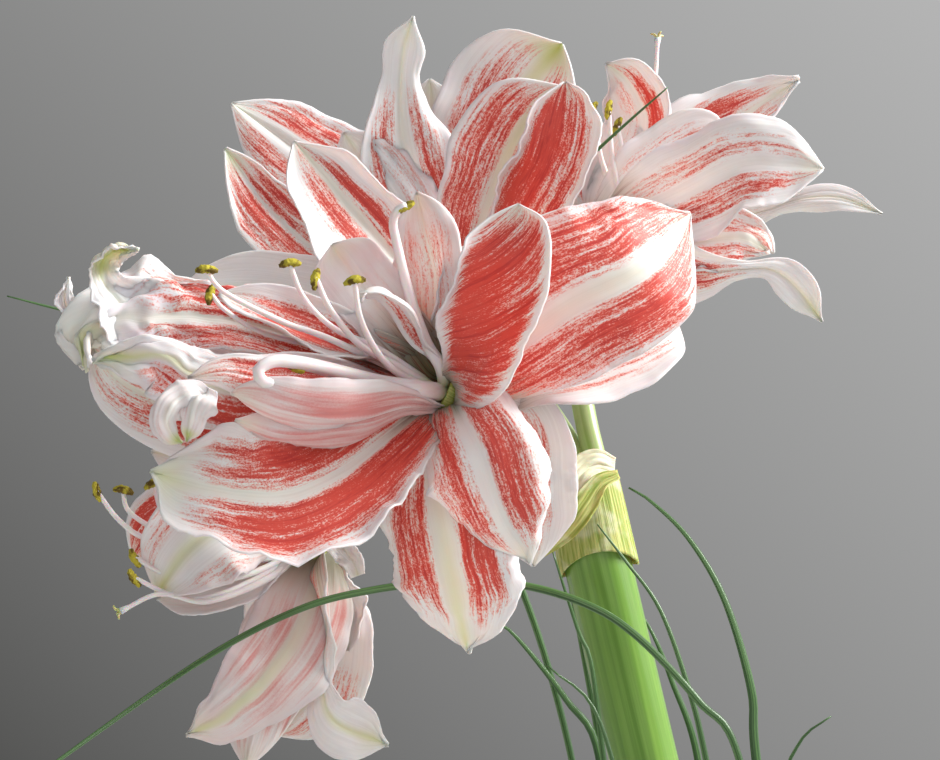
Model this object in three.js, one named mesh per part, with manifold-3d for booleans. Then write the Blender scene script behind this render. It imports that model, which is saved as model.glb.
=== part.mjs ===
// A potted amaryllis: four double blooms on one stout green scape, in millimetres, +Z up.
// The origin is the middle of the pot's flat base. +Y points away from the side that is looked at.
import * as THREE from 'three';
import { mergeVertices } from 'three/addons/utils/BufferGeometryUtils.js';
import Module from 'manifold-3d';

const wasm = await Module();
wasm.setup();

// Driving dimensions
const GAP = 0.35; // clearance between pieces that touch
const GRID = 0.002; // joined pieces have their points on this grid
const ROUND_SIDES = 28; // the pot, the soil and the bulb share their facets, so they nest
const POT_HEIGHT = 130;
const POT_TOP_RADIUS = 82;
const POT_FOOT_RADIUS = 54;
const POT_WALL = 6;
const SOIL_LEVEL = 118;
const BULB_RADIUS = 44;
const BULB_BOTTOM = 64;
const NECK_TOP = 166;
const NECK_RADIUS = 19.5;
const SCAPE_RADIUS = 13;
const SOCKET_DEPTH = 9; // how far the scape stands in the bulb's neck
const PEDICEL_RADIUS = 4.4;
const OVARY_RADIUS = 6.6;
const TUBE_RADIUS = 5.2;
const THROAT_RADIUS = 12;
const HEART_HEIGHT = 10; // the packed heart of the bloom, above its throat
const TUBE_LENGTH = 24; // the bloom's own tube, above the ovary
const FILAMENT_RADIUS = 1.15;
const ANTHER_LENGTH = 7.5;
const ANTHER_THICKNESS = 3.2;
const PETAL_THICKNESS = 1.0;
const THICKNESS_STEP = 0.01; // tried in turn, until a bloom's folds close without a pinch
const LEAF_THICKNESS = 2.6;
const GRASS_WIDTH = 3.4;
const GRASS_THICKNESS = 1.1;
const TUFT_RADIUS = 6.5;
const TUFT_DEPTH = 9;

// The middle of the flower head, from the origin. Paths of the flowers and blades start from here.
const HEAD = new THREE.Vector3(-92, 0, 570);

const at = ([x, y, z]) => new THREE.Vector3(x, y, z).add(HEAD);
const vec = ([x, y, z]) => new THREE.Vector3(x, y, z);

// Value of an evenly spaced list at t from 0 to 1
function along(list, t) {
  const place = t * (list.length - 1);
  const i = Math.min(Math.floor(place), list.length - 2);
  return THREE.MathUtils.lerp(list[i], list[i + 1], place - i);
}

function curveThrough(points) {
  return new THREE.CatmullRomCurve3(points, false, 'catmullrom', 0.5);
}

// Solids

function toSolid(geometry) {
  const bare = geometry.clone();
  bare.deleteAttribute('normal');
  bare.deleteAttribute('uv');
  const welded = mergeVertices(bare, 1e-4);
  return new wasm.Manifold(new wasm.Mesh({
    numProp: 3,
    vertProperties: new Float32Array(welded.attributes.position.array),
    triVerts: new Uint32Array(welded.index.array),
  }));
}

function toGeometry(solid) {
  const mesh = solid.getMesh();
  const geometry = new THREE.BufferGeometry();
  geometry.setAttribute('position', new THREE.BufferAttribute(mesh.vertProperties, 3));
  geometry.setIndex(new THREE.BufferAttribute(mesh.triVerts, 1));
  return outerShell(settled(geometry));
}

// Whether two folds of a skin touch along an edge, which leaves more than two faces there
function isPinched(geometry) {
  const index = geometry.index.array;
  const uses = new Map();
  for (let i = 0; i < index.length; i += 3) {
    for (let k = 0; k < 3; k += 1) {
      const edge = [index[i + k], index[i + (k + 1) % 3]].sort((a, b) => a - b).join();
      uses.set(edge, (uses.get(edge) ?? 0) + 1);
    }
  }
  return [...uses.values()].some((count) => count !== 2);
}

// Puts the points on a fine grid, and drops the triangles that close up there
function settled(geometry) {
  const snapped = geometry.attributes.position.array.map((value) => Math.round(value / GRID) * GRID);
  geometry.setAttribute('position', new THREE.BufferAttribute(snapped, 3));
  const welded = mergeVertices(geometry, GRID / 10);
  const index = welded.index.array;
  const kept = new Map();
  for (let i = 0; i < index.length; i += 3) {
    const corners = [index[i], index[i + 1], index[i + 2]];
    const key = [...corners].sort((a, b) => a - b).join();
    const isOpen = new Set(corners).size === 3;
    if (isOpen && !kept.delete(key)) {
      kept.set(key, corners);
    }
  }
  welded.setIndex([...kept.values()].flat());
  return welded;
}

const joined = (solids) => solids.reduce((all, solid) => all.add(solid));

const cornersOf = (place, index, i) => {
  return [0, 1, 2].map((k) => new THREE.Vector3().fromBufferAttribute(place, index[i + k]));
};

// Keeps the largest shell, so that a hollow closed in by a join is filled
function outerShell(geometry) {
  const place = geometry.attributes.position;
  const index = geometry.index.array;
  const parent = Array.from({ length: place.count }, (_, i) => i);
  const root = (i) => {
    while (parent[i] !== i) {
      parent[i] = parent[parent[i]];
      i = parent[i];
    }
    return i;
  };
  for (let i = 0; i < index.length; i += 3) {
    parent[root(index[i + 1])] = root(index[i]);
    parent[root(index[i + 2])] = root(index[i]);
  }
  const shells = new Map();
  for (let i = 0; i < index.length; i += 3) {
    const key = root(index[i]);
    const [a, b, c] = cornersOf(place, index, i);
    const shell = shells.get(key) ?? { volume: 0, triangles: [] };
    shell.volume += a.dot(b.cross(c)) / 6;
    shell.triangles.push(index[i], index[i + 1], index[i + 2]);
    shells.set(key, shell);
  }
  const largest = [...shells.values()].reduce((best, shell) => (shell.volume > best.volume ? shell : best));
  geometry.setIndex(largest.triangles);
  return geometry;
}

// A closed skin over a row of closed loops with the same number of points each.
// The two halves of a loop are cut into triangles alike, because they are the two faces of a blade.
function skinned(loops) {
  const sides = loops[0].length;
  const positions = loops.flat().flatMap((point) => point.toArray());
  const triangles = [];
  for (let row = 0; row + 1 < loops.length; row += 1) {
    for (let side = 0; side < sides; side += 1) {
      const a = row * sides + side;
      const b = row * sides + (side + 1) % sides;
      if (side < sides / 2) {
        triangles.push(a, b, b + sides, a, b + sides, a + sides);
      } else {
        triangles.push(a, b, a + sides, b, b + sides, a + sides);
      }
    }
  }
  const lastRow = (loops.length - 1) * sides;
  for (let k = 0; k + 1 < sides / 2; k += 1) {
    const far = sides - 1 - k;
    triangles.push(k, far, k + 1, lastRow + k, lastRow + k + 1, lastRow + far);
    if (far - 1 > k + 1) {
      triangles.push(k + 1, far, far - 1, lastRow + k + 1, lastRow + far - 1, lastRow + far);
    }
  }
  const geometry = new THREE.BufferGeometry();
  geometry.setAttribute('position', new THREE.Float32BufferAttribute(positions, 3));
  geometry.setIndex(triangles);
  return facingOut(geometry);
}

// Turns a closed skin round if its faces point inwards
function facingOut(geometry) {
  const place = geometry.attributes.position;
  const index = geometry.index.array;
  let volume = 0;
  for (let i = 0; i < index.length; i += 3) {
    const [a, b, c] = cornersOf(place, index, i);
    volume += a.dot(b.cross(c));
  }
  if (volume < 0) {
    for (let i = 0; i < index.length; i += 3) {
      [index[i + 1], index[i + 2]] = [index[i + 2], index[i + 1]];
    }
  }
  return geometry;
}

// A round stem along points, with its radius given by a function of 0 to 1
function stem(points, radiusAt, steps, sides) {
  const curve = curveThrough(points);
  const frames = curve.computeFrenetFrames(steps, false);
  const loops = [];
  for (let i = 0; i <= steps; i += 1) {
    const middle = curve.getPointAt(i / steps);
    const radius = radiusAt(i / steps);
    loops.push(Array.from({ length: sides }, (_, side) => {
      const angle = (2 * Math.PI * side) / sides;
      return middle.clone()
        .addScaledVector(frames.normals[i], radius * Math.cos(angle))
        .addScaledVector(frames.binormals[i], radius * Math.sin(angle));
    }));
  }
  return skinned(loops);
}

// Half the width of a petal or leaf at t, as a share of its greatest half width
function outlineAt(t, { claw = 0.2, widest = 0.55, sharp = 2.2, pinch = null }) {
  const rise = claw + (1 - claw) * Math.sin((Math.PI / 2) * Math.min(1, t / widest)) ** 1.3;
  const fall = 1 - Math.max(0, (t - widest) / (1 - widest)) ** sharp;
  const waist = pinch ? 1 - pinch[1] * Math.exp(-(((t - pinch[0]) / 0.09) ** 2)) : 1;
  return rise * Math.max(fall, 0.02) * waist;
}

// A curved blade with a front and a back: petals, leaves and bracts.
// inner is the way its inner face looks at its root, and face where it looks further out.
function blade({ points, inner, face, width, cup, thickness, ruffle = 1.2, ...form }) {
  const curve = curveThrough(points);
  const across = width < 40 ? 3 : 4;
  const steps = THREE.MathUtils.clamp(Math.round(curve.getLength() / 24), 4, 6);
  const faces = face && Array.isArray(face[0]) ? face : [face, face];
  const loops = [];
  let normal = inner.clone();
  for (let i = 0; i <= steps; i += 1) {
    const t = i / steps;
    const middle = curve.getPointAt(t);
    const tangent = curve.getTangentAt(t);
    normal = normal.addScaledVector(tangent, -normal.dot(tangent)).normalize();
    const look = normal.clone();
    if (face) {
      const turn = THREE.MathUtils.smoothstep(t, -0.4, 0.4);
      const wanted = vec([0, 1, 2].map((axis) => along(faces.map((one) => one[axis]), t))).normalize();
      look.multiplyScalar(1 - turn).addScaledVector(wanted, turn);
      look.addScaledVector(tangent, -look.dot(tangent)).normalize();
    }
    const side = new THREE.Vector3().crossVectors(tangent, look);
    const half = Math.max((width / 2) * outlineAt(t, form), 1.2);
    const bend = THREE.MathUtils.degToRad(along(cup, t)) || 1e-3;
    const front = [];
    const back = [];
    for (let k = 0; k <= across; k += 1) {
      const u = (2 * k) / across - 1;
      const angle = bend * Math.abs(u);
      const wave = ruffle * Math.abs(u) ** 2.5 * Math.sin(6 * Math.PI * t + (u > 0 ? 1.3 : 0));
      const point = middle.clone()
        .addScaledVector(side, (Math.sign(u) * half * Math.sin(angle)) / bend)
        .addScaledVector(look, (half * (1 - Math.cos(angle))) / bend + wave * Math.sin(Math.PI * t));
      const out = look.clone().multiplyScalar(Math.cos(angle))
        .addScaledVector(side, -Math.sign(u) * Math.sin(angle));
      const deep = (thickness / 2) * (1 - 0.3 * u * u);
      front.push(point.clone().addScaledVector(out, deep));
      back.unshift(point.clone().addScaledVector(out, -deep));
    }
    loops.push([...front, ...back]);
  }
  return skinned(loops);
}

// Flowers

// Each bloom: its throat, the way it opens, the stalk from the scape's top, its petals and its stamens.
// Points are from the middle of the head: x to the right, y away, z up.
const BLOOMS = {
  bloom_front: {
    throat: [-10, -45, -4],
    opens: [-0.74, -0.57, 0.35],
    stalk: [[42, -4, -58], [38, -6, -36], [25, -19, -18], [8, -35, -10]],
    petals: [
      { path: [[3, -62, 2], [30, -80, 23], [57, -78, 37], [75, -56, 56]], width: 64, cup: [30, -10, -15] },
      { path: [[3, -52, -8], [18, -56, -18], [25, -54, -38], [23, -45, -66]], width: 38, cup: [20, -5, -10],
        face: [0, -1, 0] },
      { path: [[-5, -62, -9], [2, -84, -23], [9, -86, -43], [20, -72, -61]], width: 52, cup: [30, -30, -35] },
      { path: [[-11, -55, -16], [-11, -64, -40], [-6, -66, -67], [-1, -56, -92]], width: 56,
        cup: [20, -10, -15] },
      { path: [[-18, -60, -12], [-42, -80, -30], [-62, -90, -38], [-85, -92, -36], [-104, -90, -30]],
        width: 52, cup: [30, 10, 15], face: [-0.1, -1, 0.35] },
      { path: [[-14, -66, -6], [-33, -94, -11], [-55, -107, -13], [-80, -108, -6]], width: 34,
        cup: [50, 50, 40], face: [0, 0.75, 0.65] },
      { path: [[-16, -62, -10], [-38, -86, -19], [-58, -96, -22], [-82, -97, -13]], width: 24,
        cup: [45, 45, 30], face: [0, 0.75, 0.65] },
      { path: [[-15, -50, 3], [-47, -55, 10], [-78, -60, 19], [-104, -62, 24], [-122, -62, 31],
        [-118, -60, 44]], width: 42, cup: [30, 15, 20], face: [0, -1, 0.4] },
      { path: [[-14, -50, 4], [-44, -59, 15], [-68, -67, 24], [-86, -68, 31]], width: 26,
        cup: [40, 40, 50], face: [0, -0.8, 0.6] },
      { path: [[-14, -35, 7], [-46, -25, 24], [-74, -18, 32], [-104, -15, 32]], width: 30,
        cup: [30, 20, 10], face: [0, -1, 0.3] },
      { path: [[-17, -50, -5], [-57, -60, -9], [-91, -68, -7], [-115, -72, 0], [-132, -70, 17]],
        width: 44, cup: [30, 10, 20], face: [0, -1, 0] },
      { path: [[-13, -55, 1], [-57, -72, 7], [-89, -82, 11], [-112, -84, 17], [-129, -78, 28]],
        width: 36, cup: [30, 10, 30], face: [0.2, -1, 0.3], ruffle: 3 },
      { path: [[-17, -56, -3], [-56, -80, -2], [-86, -92, 1], [-110, -94, 4], [-126, -92, 4]],
        width: 24, cup: [30, 20, 30], face: [0, -1, 0.1] },
      { path: [[-16, -58, -8], [-52, -75, -14], [-80, -90, -10], [-95, -97, -8], [-97, -99, -20]],
        width: 22, cup: [30, 30, 50], face: [0.3, -0.9, 0] },
      { path: [[-5, -58, -4], [2, -80, 10], [8, -90, 35], [12, -84, 58]], width: 36, cup: [30, 20, 10],
        face: [-0.5, -0.9, 0.1] },
      { path: [[-7, -56, 14], [-3, -62, 31], [0, -64, 46]], width: 16, cup: [30, 50, 60] },
      { path: [[-9, -52, 3], [-11, -58, 24], [-14, -58, 44], [-18, -52, 64]], width: 28,
        cup: [40, 30, 10], face: [-0.6, -0.8, 0.2] },
      { path: [[-14, -52, 3], [-24, -56, 17], [-36, -58, 31], [-47, -55, 46]], width: 26,
        cup: [40, 40, 20], face: [0, -1, 0] },
      { path: [[4, -48, -2], [30, -52, 8], [55, -42, 16], [72, -26, 22]], width: 46, cup: [20, 10, 5],
        face: [-0.3, -1, 0.4] },
    ],
    petaloids: [
      { path: [[-14, -62, -3], [-40, -84, 2], [-62, -98, 7], [-72, -104, 3], [-71, -107, -5]],
        width: 8, cup: [50, 60, 70] },
      { path: [[-10, -58, 0], [-15, -62, 12], [-23, -68, 25], [-33, -74, 28], [-36, -78, 23]],
        width: 7, cup: [40, 50, 60] },
    ],
    stamens: [
      { path: [[-43, -72, 12], [-53, -78, 15], [-67, -86, 20], [-80, -92, 29], [-86, -95, 36]],
        anther: [1, 0, 0] },
      { path: [[-30, -66, 10], [-45, -72, 17], [-55, -76, 27], [-60, -78, 39]], anther: [1, 0, 0.1] },
      { path: [[-25, -66, 5], [-37, -74, 12], [-46, -80, 23], [-51, -83, 34]], anther: [0.2, 0, 1] },
      { path: [[-22, -66, 1], [-30, -76, 8], [-36, -84, 20], [-38, -87, 33]], anther: [1, 0, 0.2] },
      { path: [[-36, -60, 8], [-67, -70, 15], [-81, -78, 23], [-86, -80, 29]], anther: [0.3, 0, 1] },
      { path: [[-8, -60, 7], [-15, -62, 20], [-22, -64, 40], [-23, -67, 58]], anther: [1, 0, 0.1] },
    ],
  },
  bloom_top: {
    throat: [-7, 15, 30],
    opens: [-0.45, -0.35, 0.82],
    stalk: [[43, 4, -58], [41, 6, -34], [27, 20, -9], [6, 22, 14]],
    petals: [
      { path: [[-10, 18, 42], [-17, 14, 62], [-23, 12, 90], [-24, 10, 114], [-21, 6, 132]], width: 38,
        cup: [30, 10, 20], pinch: [0.72, 0.45], face: [0, -1, 0] },
      { path: [[-10, 26, 45], [-13, 32, 75], [-15, 34, 112]], width: 32, cup: [20, 10, 10],
        face: [0, -1, 0] },
      { path: [[-16, 12, 44], [-32, 12, 70], [-46, 10, 90]], width: 30, cup: [20, 10, 10],
        face: [0, -1, 0] },
      { path: [[-18, 14, 42], [-45, 20, 72], [-68, 24, 88], [-88, 24, 102]], width: 36,
        cup: [30, 20, 10], face: [0.3, -1, 0.2] },
      { path: [[-22, 6, 32], [-51, 6, 44], [-73, 8, 62], [-89, 8, 84]], width: 30, cup: [30, 20, 10],
        face: [0.3, -1, 0.2] },
      { path: [[-14, -10, 32], [-28, -22, 45], [-46, -26, 66], [-62, -22, 84]], width: 38,
        cup: [30, 30, 20], face: [0.3, -1, 0.3] },
      { path: [[0, 22, 46], [8, 24, 74], [20, 26, 106], [34, 24, 124]], width: 58, cup: [30, 10, 10],
        face: [-0.2, -1, 0.1] },
      { path: [[0, 8, 42], [7, 4, 65], [18, 2, 90], [32, 0, 106]], width: 42, cup: [30, 20, 10],
        face: [0, -1, 0] },
      { path: [[6, 2, 42], [24, -6, 66], [34, -8, 87], [38, -4, 106]], width: 32, cup: [30, 30, 30],
        face: [-0.3, -1, 0] },
      { path: [[0, 32, 46], [8, 46, 66], [12, 56, 86], [10, 60, 102]], width: 42, cup: [20, 20, 10] },
      { path: [[-14, 32, 44], [-26, 48, 60], [-42, 60, 76], [-54, 62, 94]], width: 40,
        cup: [20, 20, 10] },
    ],
    petaloids: [],
    stamens: [
      { path: [[-20, 4, 42], [-34, 2, 56], [-46, -4, 70], [-51, -6, 82]], anther: [1, 0, -0.4] },
      { path: [[-20, 2, 38], [-36, -4, 44], [-48, -10, 52], [-57, -14, 62]], anther: [0.4, 0, 1] },
    ],
  },
  bloom_right: {
    throat: [47, 50, 50],
    opens: [0.2, 0.3, 0.93],
    stalk: [[47, 1, -58], [46, 4, -36], [50, 18, -8], [47, 38, 24]],
    petals: [
      { path: [[53, 56, 64], [62, 66, 84], [67, 68, 100], [61, 65, 114], [52, 61, 121]], width: 38,
        cup: [30, 20, 15], face: [-0.6, -0.7, 0.3] },
      { path: [[62, 72, 72], [84, 88, 94], [106, 92, 104], [128, 88, 118]], width: 42,
        cup: [30, 30, 30], face: [0, -1, 0.2] },
      { path: [[54, 45, 62], [72, 40, 78], [88, 38, 88], [97, 40, 88]], width: 30, cup: [20, 10, 10],
        face: [0, -1, 0.3] },
      { path: [[56, 36, 58], [80, 24, 70], [104, 16, 79], [129, 15, 77]], width: 42, cup: [20, 10, 10],
        face: [0, -1, 0.3] },
      { path: [[60, 50, 55], [95, 50, 60], [118, 50, 68], [132, 48, 70], [152, 46, 62]], width: 32,
        cup: [20, 10, 10], pinch: [0.7, 0.7], face: [0, -1, 0.3] },
      { path: [[55, 28, 45], [78, 16, 41], [98, 14, 44], [110, 14, 39], [120, 14, 32], [128, 14, 22]],
        width: 32, cup: [20, 10, 10], pinch: [0.62, 0.7], face: [0, -1, 0] },
      { path: [[58, 30, 52], [80, 22, 52], [100, 20, 52], [110, 20, 47]], width: 26, cup: [20, 10, 10],
        face: [0, -1, 0.3] },
      { path: [[42, 62, 66], [36, 80, 84], [32, 92, 102], [34, 98, 116]], width: 40, cup: [20, 20, 10] },
      { path: [[64, 74, 60], [86, 94, 66], [104, 104, 74], [118, 108, 80]], width: 40,
        cup: [20, 20, 10] },
      { path: [[52, 62, 50], [64, 82, 46], [78, 98, 48], [88, 106, 56]], width: 36, cup: [20, 20, 10] },
    ],
    petaloids: [],
    stamens: [
      { path: [[49, 50, 58], [53, 48, 70], [49, 46, 85], [46, 44, 102]], anther: [0.5, 0, 1] },
      { path: [[50, 48, 58], [55, 44, 70], [53, 42, 86], [52, 40, 102]], anther: [0.2, 0, 1] },
      { path: [[52, 52, 58], [57, 52, 70], [58, 54, 84], [56, 54, 97]], anther: [0.4, 0, 1] },
      { path: [[53, 54, 58], [64, 68, 90], [71, 76, 112], [73, 80, 133]] },
    ],
  },
  bloom_low: {
    throat: [-59, 20, -58],
    opens: [-0.72, -0.15, -0.65],
    stalk: [[41, 0, -58], [37, 1, -36], [8, 26, -26], [-34, 26, -42]],
    petals: [
      { path: [[-70, 5, -52], [-88, -8, -52], [-102, -12, -62], [-112, -8, -77]], width: 40,
        cup: [30, 20, 10], face: [-0.3, -1, 0] },
      { path: [[-72, 25, -55], [-95, 35, -50], [-115, 38, -54], [-126, 34, -66]], width: 32,
        cup: [30, 30, 30], face: [0.5, -0.8, 0.2] },
      { path: [[-72, 12, -65], [-92, 10, -76], [-114, 12, -80]], width: 28, cup: [30, 30, 20] },
      { path: [[-62, 8, -72], [-68, -8, -92], [-80, -12, -110], [-101, -8, -128]], width: 44,
        cup: [30, 20, 20], face: [0, 1, 0] },
      { path: [[-54, 5, -72], [-52, -2, -92], [-53, -4, -110], [-47, -6, -124], [-31, -6, -131]],
        width: 30, cup: [20, 20, 10], pinch: [0.58, 0.5],
        face: [[-1, -0.4, 0], [-1, -0.4, 0], [0, -1, 0.3]] },
      { path: [[-64, 20, -75], [-72, 22, -100], [-78, 20, -122], [-82, 16, -142]], width: 30,
        cup: [20, 20, 10], face: [0, 1, 0] },
      { path: [[-56, 25, -75], [-56, 30, -98], [-62, 28, -118], [-72, 24, -131]], width: 46,
        cup: [20, 20, 10], face: [0, -1, 0] },
      { path: [[-50, 22, -66], [-44, 26, -84], [-45, 26, -100]], width: 14, cup: [20, 20, 10] },
      { path: [[-70, 28, -48], [-88, 38, -38], [-106, 44, -30], [-120, 46, -27]], width: 30,
        cup: [20, 20, 10], face: [0, -1, 0] },
      { path: [[-64, 36, -66], [-70, 52, -84], [-74, 58, -104], [-70, 56, -122]], width: 38,
        cup: [20, 20, 10] },
      { path: [[-72, 34, -52], [-92, 50, -50], [-108, 56, -58], [-116, 54, -70]], width: 36,
        cup: [20, 20, 10] },
    ],
    petaloids: [],
    stamens: [
      { path: [[-73, 8, -65], [-97, 0, -59], [-115, -6, -57], [-125, -10, -50], [-133, -12, -39]],
        anther: [-0.3, 0, 1] },
      { path: [[-73, 10, -64], [-94, 2, -58], [-111, -4, -54], [-122, -6, -47], [-124, -8, -39]],
        anther: [1, 0, -0.2] },
      { path: [[-76, 12, -62], [-98, 6, -54], [-110, 2, -49], [-114, 0, -37]], anther: [1, 0, 0.4] },
      { path: [[-72, 6, -67], [-90, -4, -72], [-107, -8, -70], [-120, -10, -63]],
        anther: [-0.5, 0, 1] },
      { path: [[-72, 6, -69], [-91, -6, -77], [-105, -10, -77], [-120, -12, -70]],
        anther: [-0.6, 0, 1] },
      { path: [[-70, 4, -70], [-93, -8, -79], [-110, -12, -76], [-124, -14, -82]] },
    ],
  },
};

// The curve of a bloom's whole stalk, from the scape's top to its throat
function stalkCurve({ stalk, throat, opens }) {
  const tip = at(throat);
  const heart = tip.clone().addScaledVector(vec(opens).normalize(), HEART_HEIGHT);
  return curveThrough([...stalk.map(at), tip, heart]);
}

// A stretch of a curve, given by lengths from its start, as points
function stretch(curve, from, to, count) {
  const total = curve.getLength();
  return Array.from({ length: count }, (_, i) => {
    return curve.getPointAt(THREE.MathUtils.lerp(from, to, i / (count - 1)) / total);
  });
}

function petalBody(bloom, petal, thickness) {
  const throat = at(bloom.throat);
  const axis = vec(bloom.opens).normalize();
  const points = petal.path.map(at);
  const outward = points[1].clone().sub(throat);
  outward.addScaledVector(axis, -outward.dot(axis)).normalize();
  const start = throat.clone().addScaledVector(outward, 6).addScaledVector(axis, -3);
  return blade({
    ...petal,
    points: [start, ...points],
    inner: outward.clone().negate(),
    thickness,
  });
}

function filamentBody(bloom, { path }) {
  const throat = at(bloom.throat);
  const start = throat.clone().addScaledVector(vec(bloom.opens).normalize(), -2);
  return stem([start, ...path.map(at)], () => FILAMENT_RADIUS, 5, 4);
}

// An anther is a plump bar across the tip of its filament
function antherBody({ path, anther }) {
  const middle = at(path.at(-1));
  const half = vec(anther).setLength(ANTHER_LENGTH / 2);
  const ends = [middle.clone().sub(half), middle, middle.clone().add(half)];
  const plump = (t) => Math.sqrt(Math.sin(Math.PI * THREE.MathUtils.clamp(t, 0.08, 0.92)));
  return stem(ends, (t) => (ANTHER_THICKNESS / 2) * plump(t), 3, 5);
}

function bloomBody(bloom, thickness = PETAL_THICKNESS) {
  const curve = stalkCurve(bloom);
  const length = curve.getLength();
  const tube = stretch(curve, length - TUBE_LENGTH - HEART_HEIGHT, length, 8);
  const flare = (t) => (TUBE_RADIUS + (THROAT_RADIUS - TUBE_RADIUS) * t ** 2) * (t > 0.9 ? 0.7 : 1);
  const solids = [toSolid(stem(tube, flare, 5, 10))];
  for (const petal of [...bloom.petals, ...bloom.petaloids]) {
    solids.push(toSolid(petalBody(bloom, petal, thickness)));
  }
  for (const stamen of bloom.stamens) {
    solids.push(toSolid(filamentBody(bloom, stamen)));
    if (stamen.anther) {
      solids.push(toSolid(antherBody(stamen)));
    }
  }
  const skin = toGeometry(joined(solids));
  return isPinched(skin) ? bloomBody(bloom, thickness + THICKNESS_STEP) : skin;
}

// Scape, pedicels and ovaries, grown as one green piece

const SCAPE_PATH = [
  [92, 0, NECK_TOP - SOCKET_DEPTH - HEAD.z],
  [92.5, 0, -340],
  [88, 0, -262],
  [77, 0, -198],
  [62.6, 0, -137],
  [44.1, 0, -58],
];

function scapeBody() {
  const taper = (t) => SCAPE_RADIUS - 0.9 * t;
  const solids = [toSolid(stem(SCAPE_PATH.map(at), taper, 10, 16))];
  for (const bloom of Object.values(BLOOMS)) {
    const curve = stalkCurve(bloom);
    const end = curve.getLength() - TUBE_LENGTH - HEART_HEIGHT - 3 * GAP;
    const points = stretch(curve, 0, end, 8);
    const root = points[0].clone().sub(points[1]).setLength(6).add(points[0]);
    const ovary = (t) => Math.exp(-(((t - 0.9) / 0.09) ** 2));
    const radiusAt = (t) => PEDICEL_RADIUS + (OVARY_RADIUS - PEDICEL_RADIUS) * ovary(t);
    solids.push(toSolid(stem([root, ...points], radiusAt, 10, 8)));
  }
  return toGeometry(joined(solids));
}

// The papery spathe: a sleeve round the scape's top, a folded bract in front and one hanging behind

const COLLAR = {
  from: [46.6, 0, -69],
  to: [40.6, 0, -37],
  bottomRadius: 14.6,
  topRadius: 13.2,
  thickness: 0.9,
  arch: 9, // how far the lower rim rises at the right of the front
};

const BRACTS = [
  { path: [[52, -11, -38], [46, -20, -34], [38, -26, -40], [30, -30, -52], [23, -31, -66]], width: 20,
    cup: [10, 20, 30], face: [0.2, -1, 0.1] },
  { path: [[42, 12, -40], [42, 20, -39], [43, 26, -50], [44, 27, -78]], width: 17, cup: [10, 20, 30],
    face: [0, 1, 0] },
];

function spatheBody() {
  const bottom = at(COLLAR.from);
  const top = at(COLLAR.to);
  const axis = top.clone().sub(bottom).normalize();
  const right = new THREE.Vector3(1, 0, 0).addScaledVector(axis, -axis.x).normalize();
  const away = new THREE.Vector3().crossVectors(axis, right);
  const sides = 20;
  const steps = 3;
  const loops = Array.from({ length: sides }, (_, side) => {
    const angle = (2 * Math.PI * side) / sides;
    const out = right.clone().multiplyScalar(Math.cos(angle)).addScaledVector(away, Math.sin(angle));
    const lift = COLLAR.arch * Math.max(0, Math.cos(angle + 1.1));
    const wall = (t, offset) => {
      const radius = THREE.MathUtils.lerp(COLLAR.bottomRadius, COLLAR.topRadius, t) + offset;
      return bottom.clone().addScaledVector(axis, lift * (1 - t)).lerp(top, t).addScaledVector(out, radius);
    };
    const outer = Array.from({ length: steps + 1 }, (_, i) => wall(i / steps, 0));
    const inner = Array.from({ length: steps + 1 }, (_, i) => wall(1 - i / steps, -COLLAR.thickness));
    return [...outer, ...inner];
  });
  const solids = [toSolid(ringSkin(loops))];
  for (const bract of BRACTS) {
    solids.push(toSolid(blade({
      ...bract,
      points: bract.path.map(at),
      inner: vec(bract.face),
      thickness: 0.9,
      claw: 0.8,
      widest: 0.35,
      sharp: 1.4,
      ruffle: 0.5,
    })));
  }
  return toGeometry(joined(solids));
}

// A closed skin over loops that themselves go round in a ring
function ringSkin(loops) {
  const count = loops[0].length;
  const positions = loops.flat().flatMap((point) => point.toArray());
  const triangles = [];
  loops.forEach((_, side) => {
    const next = (side + 1) % loops.length;
    for (let k = 0; k < count; k += 1) {
      const a = side * count + k;
      const b = side * count + (k + 1) % count;
      const c = next * count + (k + 1) % count;
      const d = next * count + k;
      triangles.push(a, b, c, a, c, d);
    }
  });
  const geometry = new THREE.BufferGeometry();
  geometry.setAttribute('position', new THREE.Float32BufferAttribute(positions, 3));
  geometry.setIndex(triangles);
  return facingOut(geometry);
}

// Bulb, soil and pot, turned round the pot's axis

function turned(profile, sides = ROUND_SIDES) {
  const outline = profile.map(([r, z]) => new THREE.Vector2(r, z));
  return new THREE.LatheGeometry(outline, sides).rotateX(Math.PI / 2);
}

const SOCKET_RADIUS = SCAPE_RADIUS + GAP;

// Buried part of the bulb's side, from its base plate up to the soil line
const BULB_SIDE = [[16, BULB_BOTTOM], [30, BULB_BOTTOM + 5], [40, 84], [BULB_RADIUS, 102]];

function bulbBody() {
  return turned([
    [0, BULB_BOTTOM],
    ...BULB_SIDE,
    [42, 120],
    [34, 138],
    [25, 150],
    [20.5, 159],
    [NECK_RADIUS, NECK_TOP],
    [SOCKET_RADIUS, NECK_TOP],
    [SOCKET_RADIUS, NECK_TOP - SOCKET_DEPTH - GAP],
    [0, NECK_TOP - SOCKET_DEPTH - GAP],
  ]);
}

const TUFTS = {
  grass_right: [50, -20],
  grass_front: [-28, -50],
  grass_rear: [-30, 44],
};

// The pot's inner wall runs straight from its floor to its rim
const POT_FLOOR = POT_WALL + 2;
const POT_INNER_TOP = POT_HEIGHT - 3;

function potInside(z) {
  const share = (z - POT_FLOOR) / (POT_INNER_TOP - POT_FLOOR);
  return THREE.MathUtils.lerp(POT_FOOT_RADIUS, POT_TOP_RADIUS, share) - POT_WALL;
}

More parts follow.
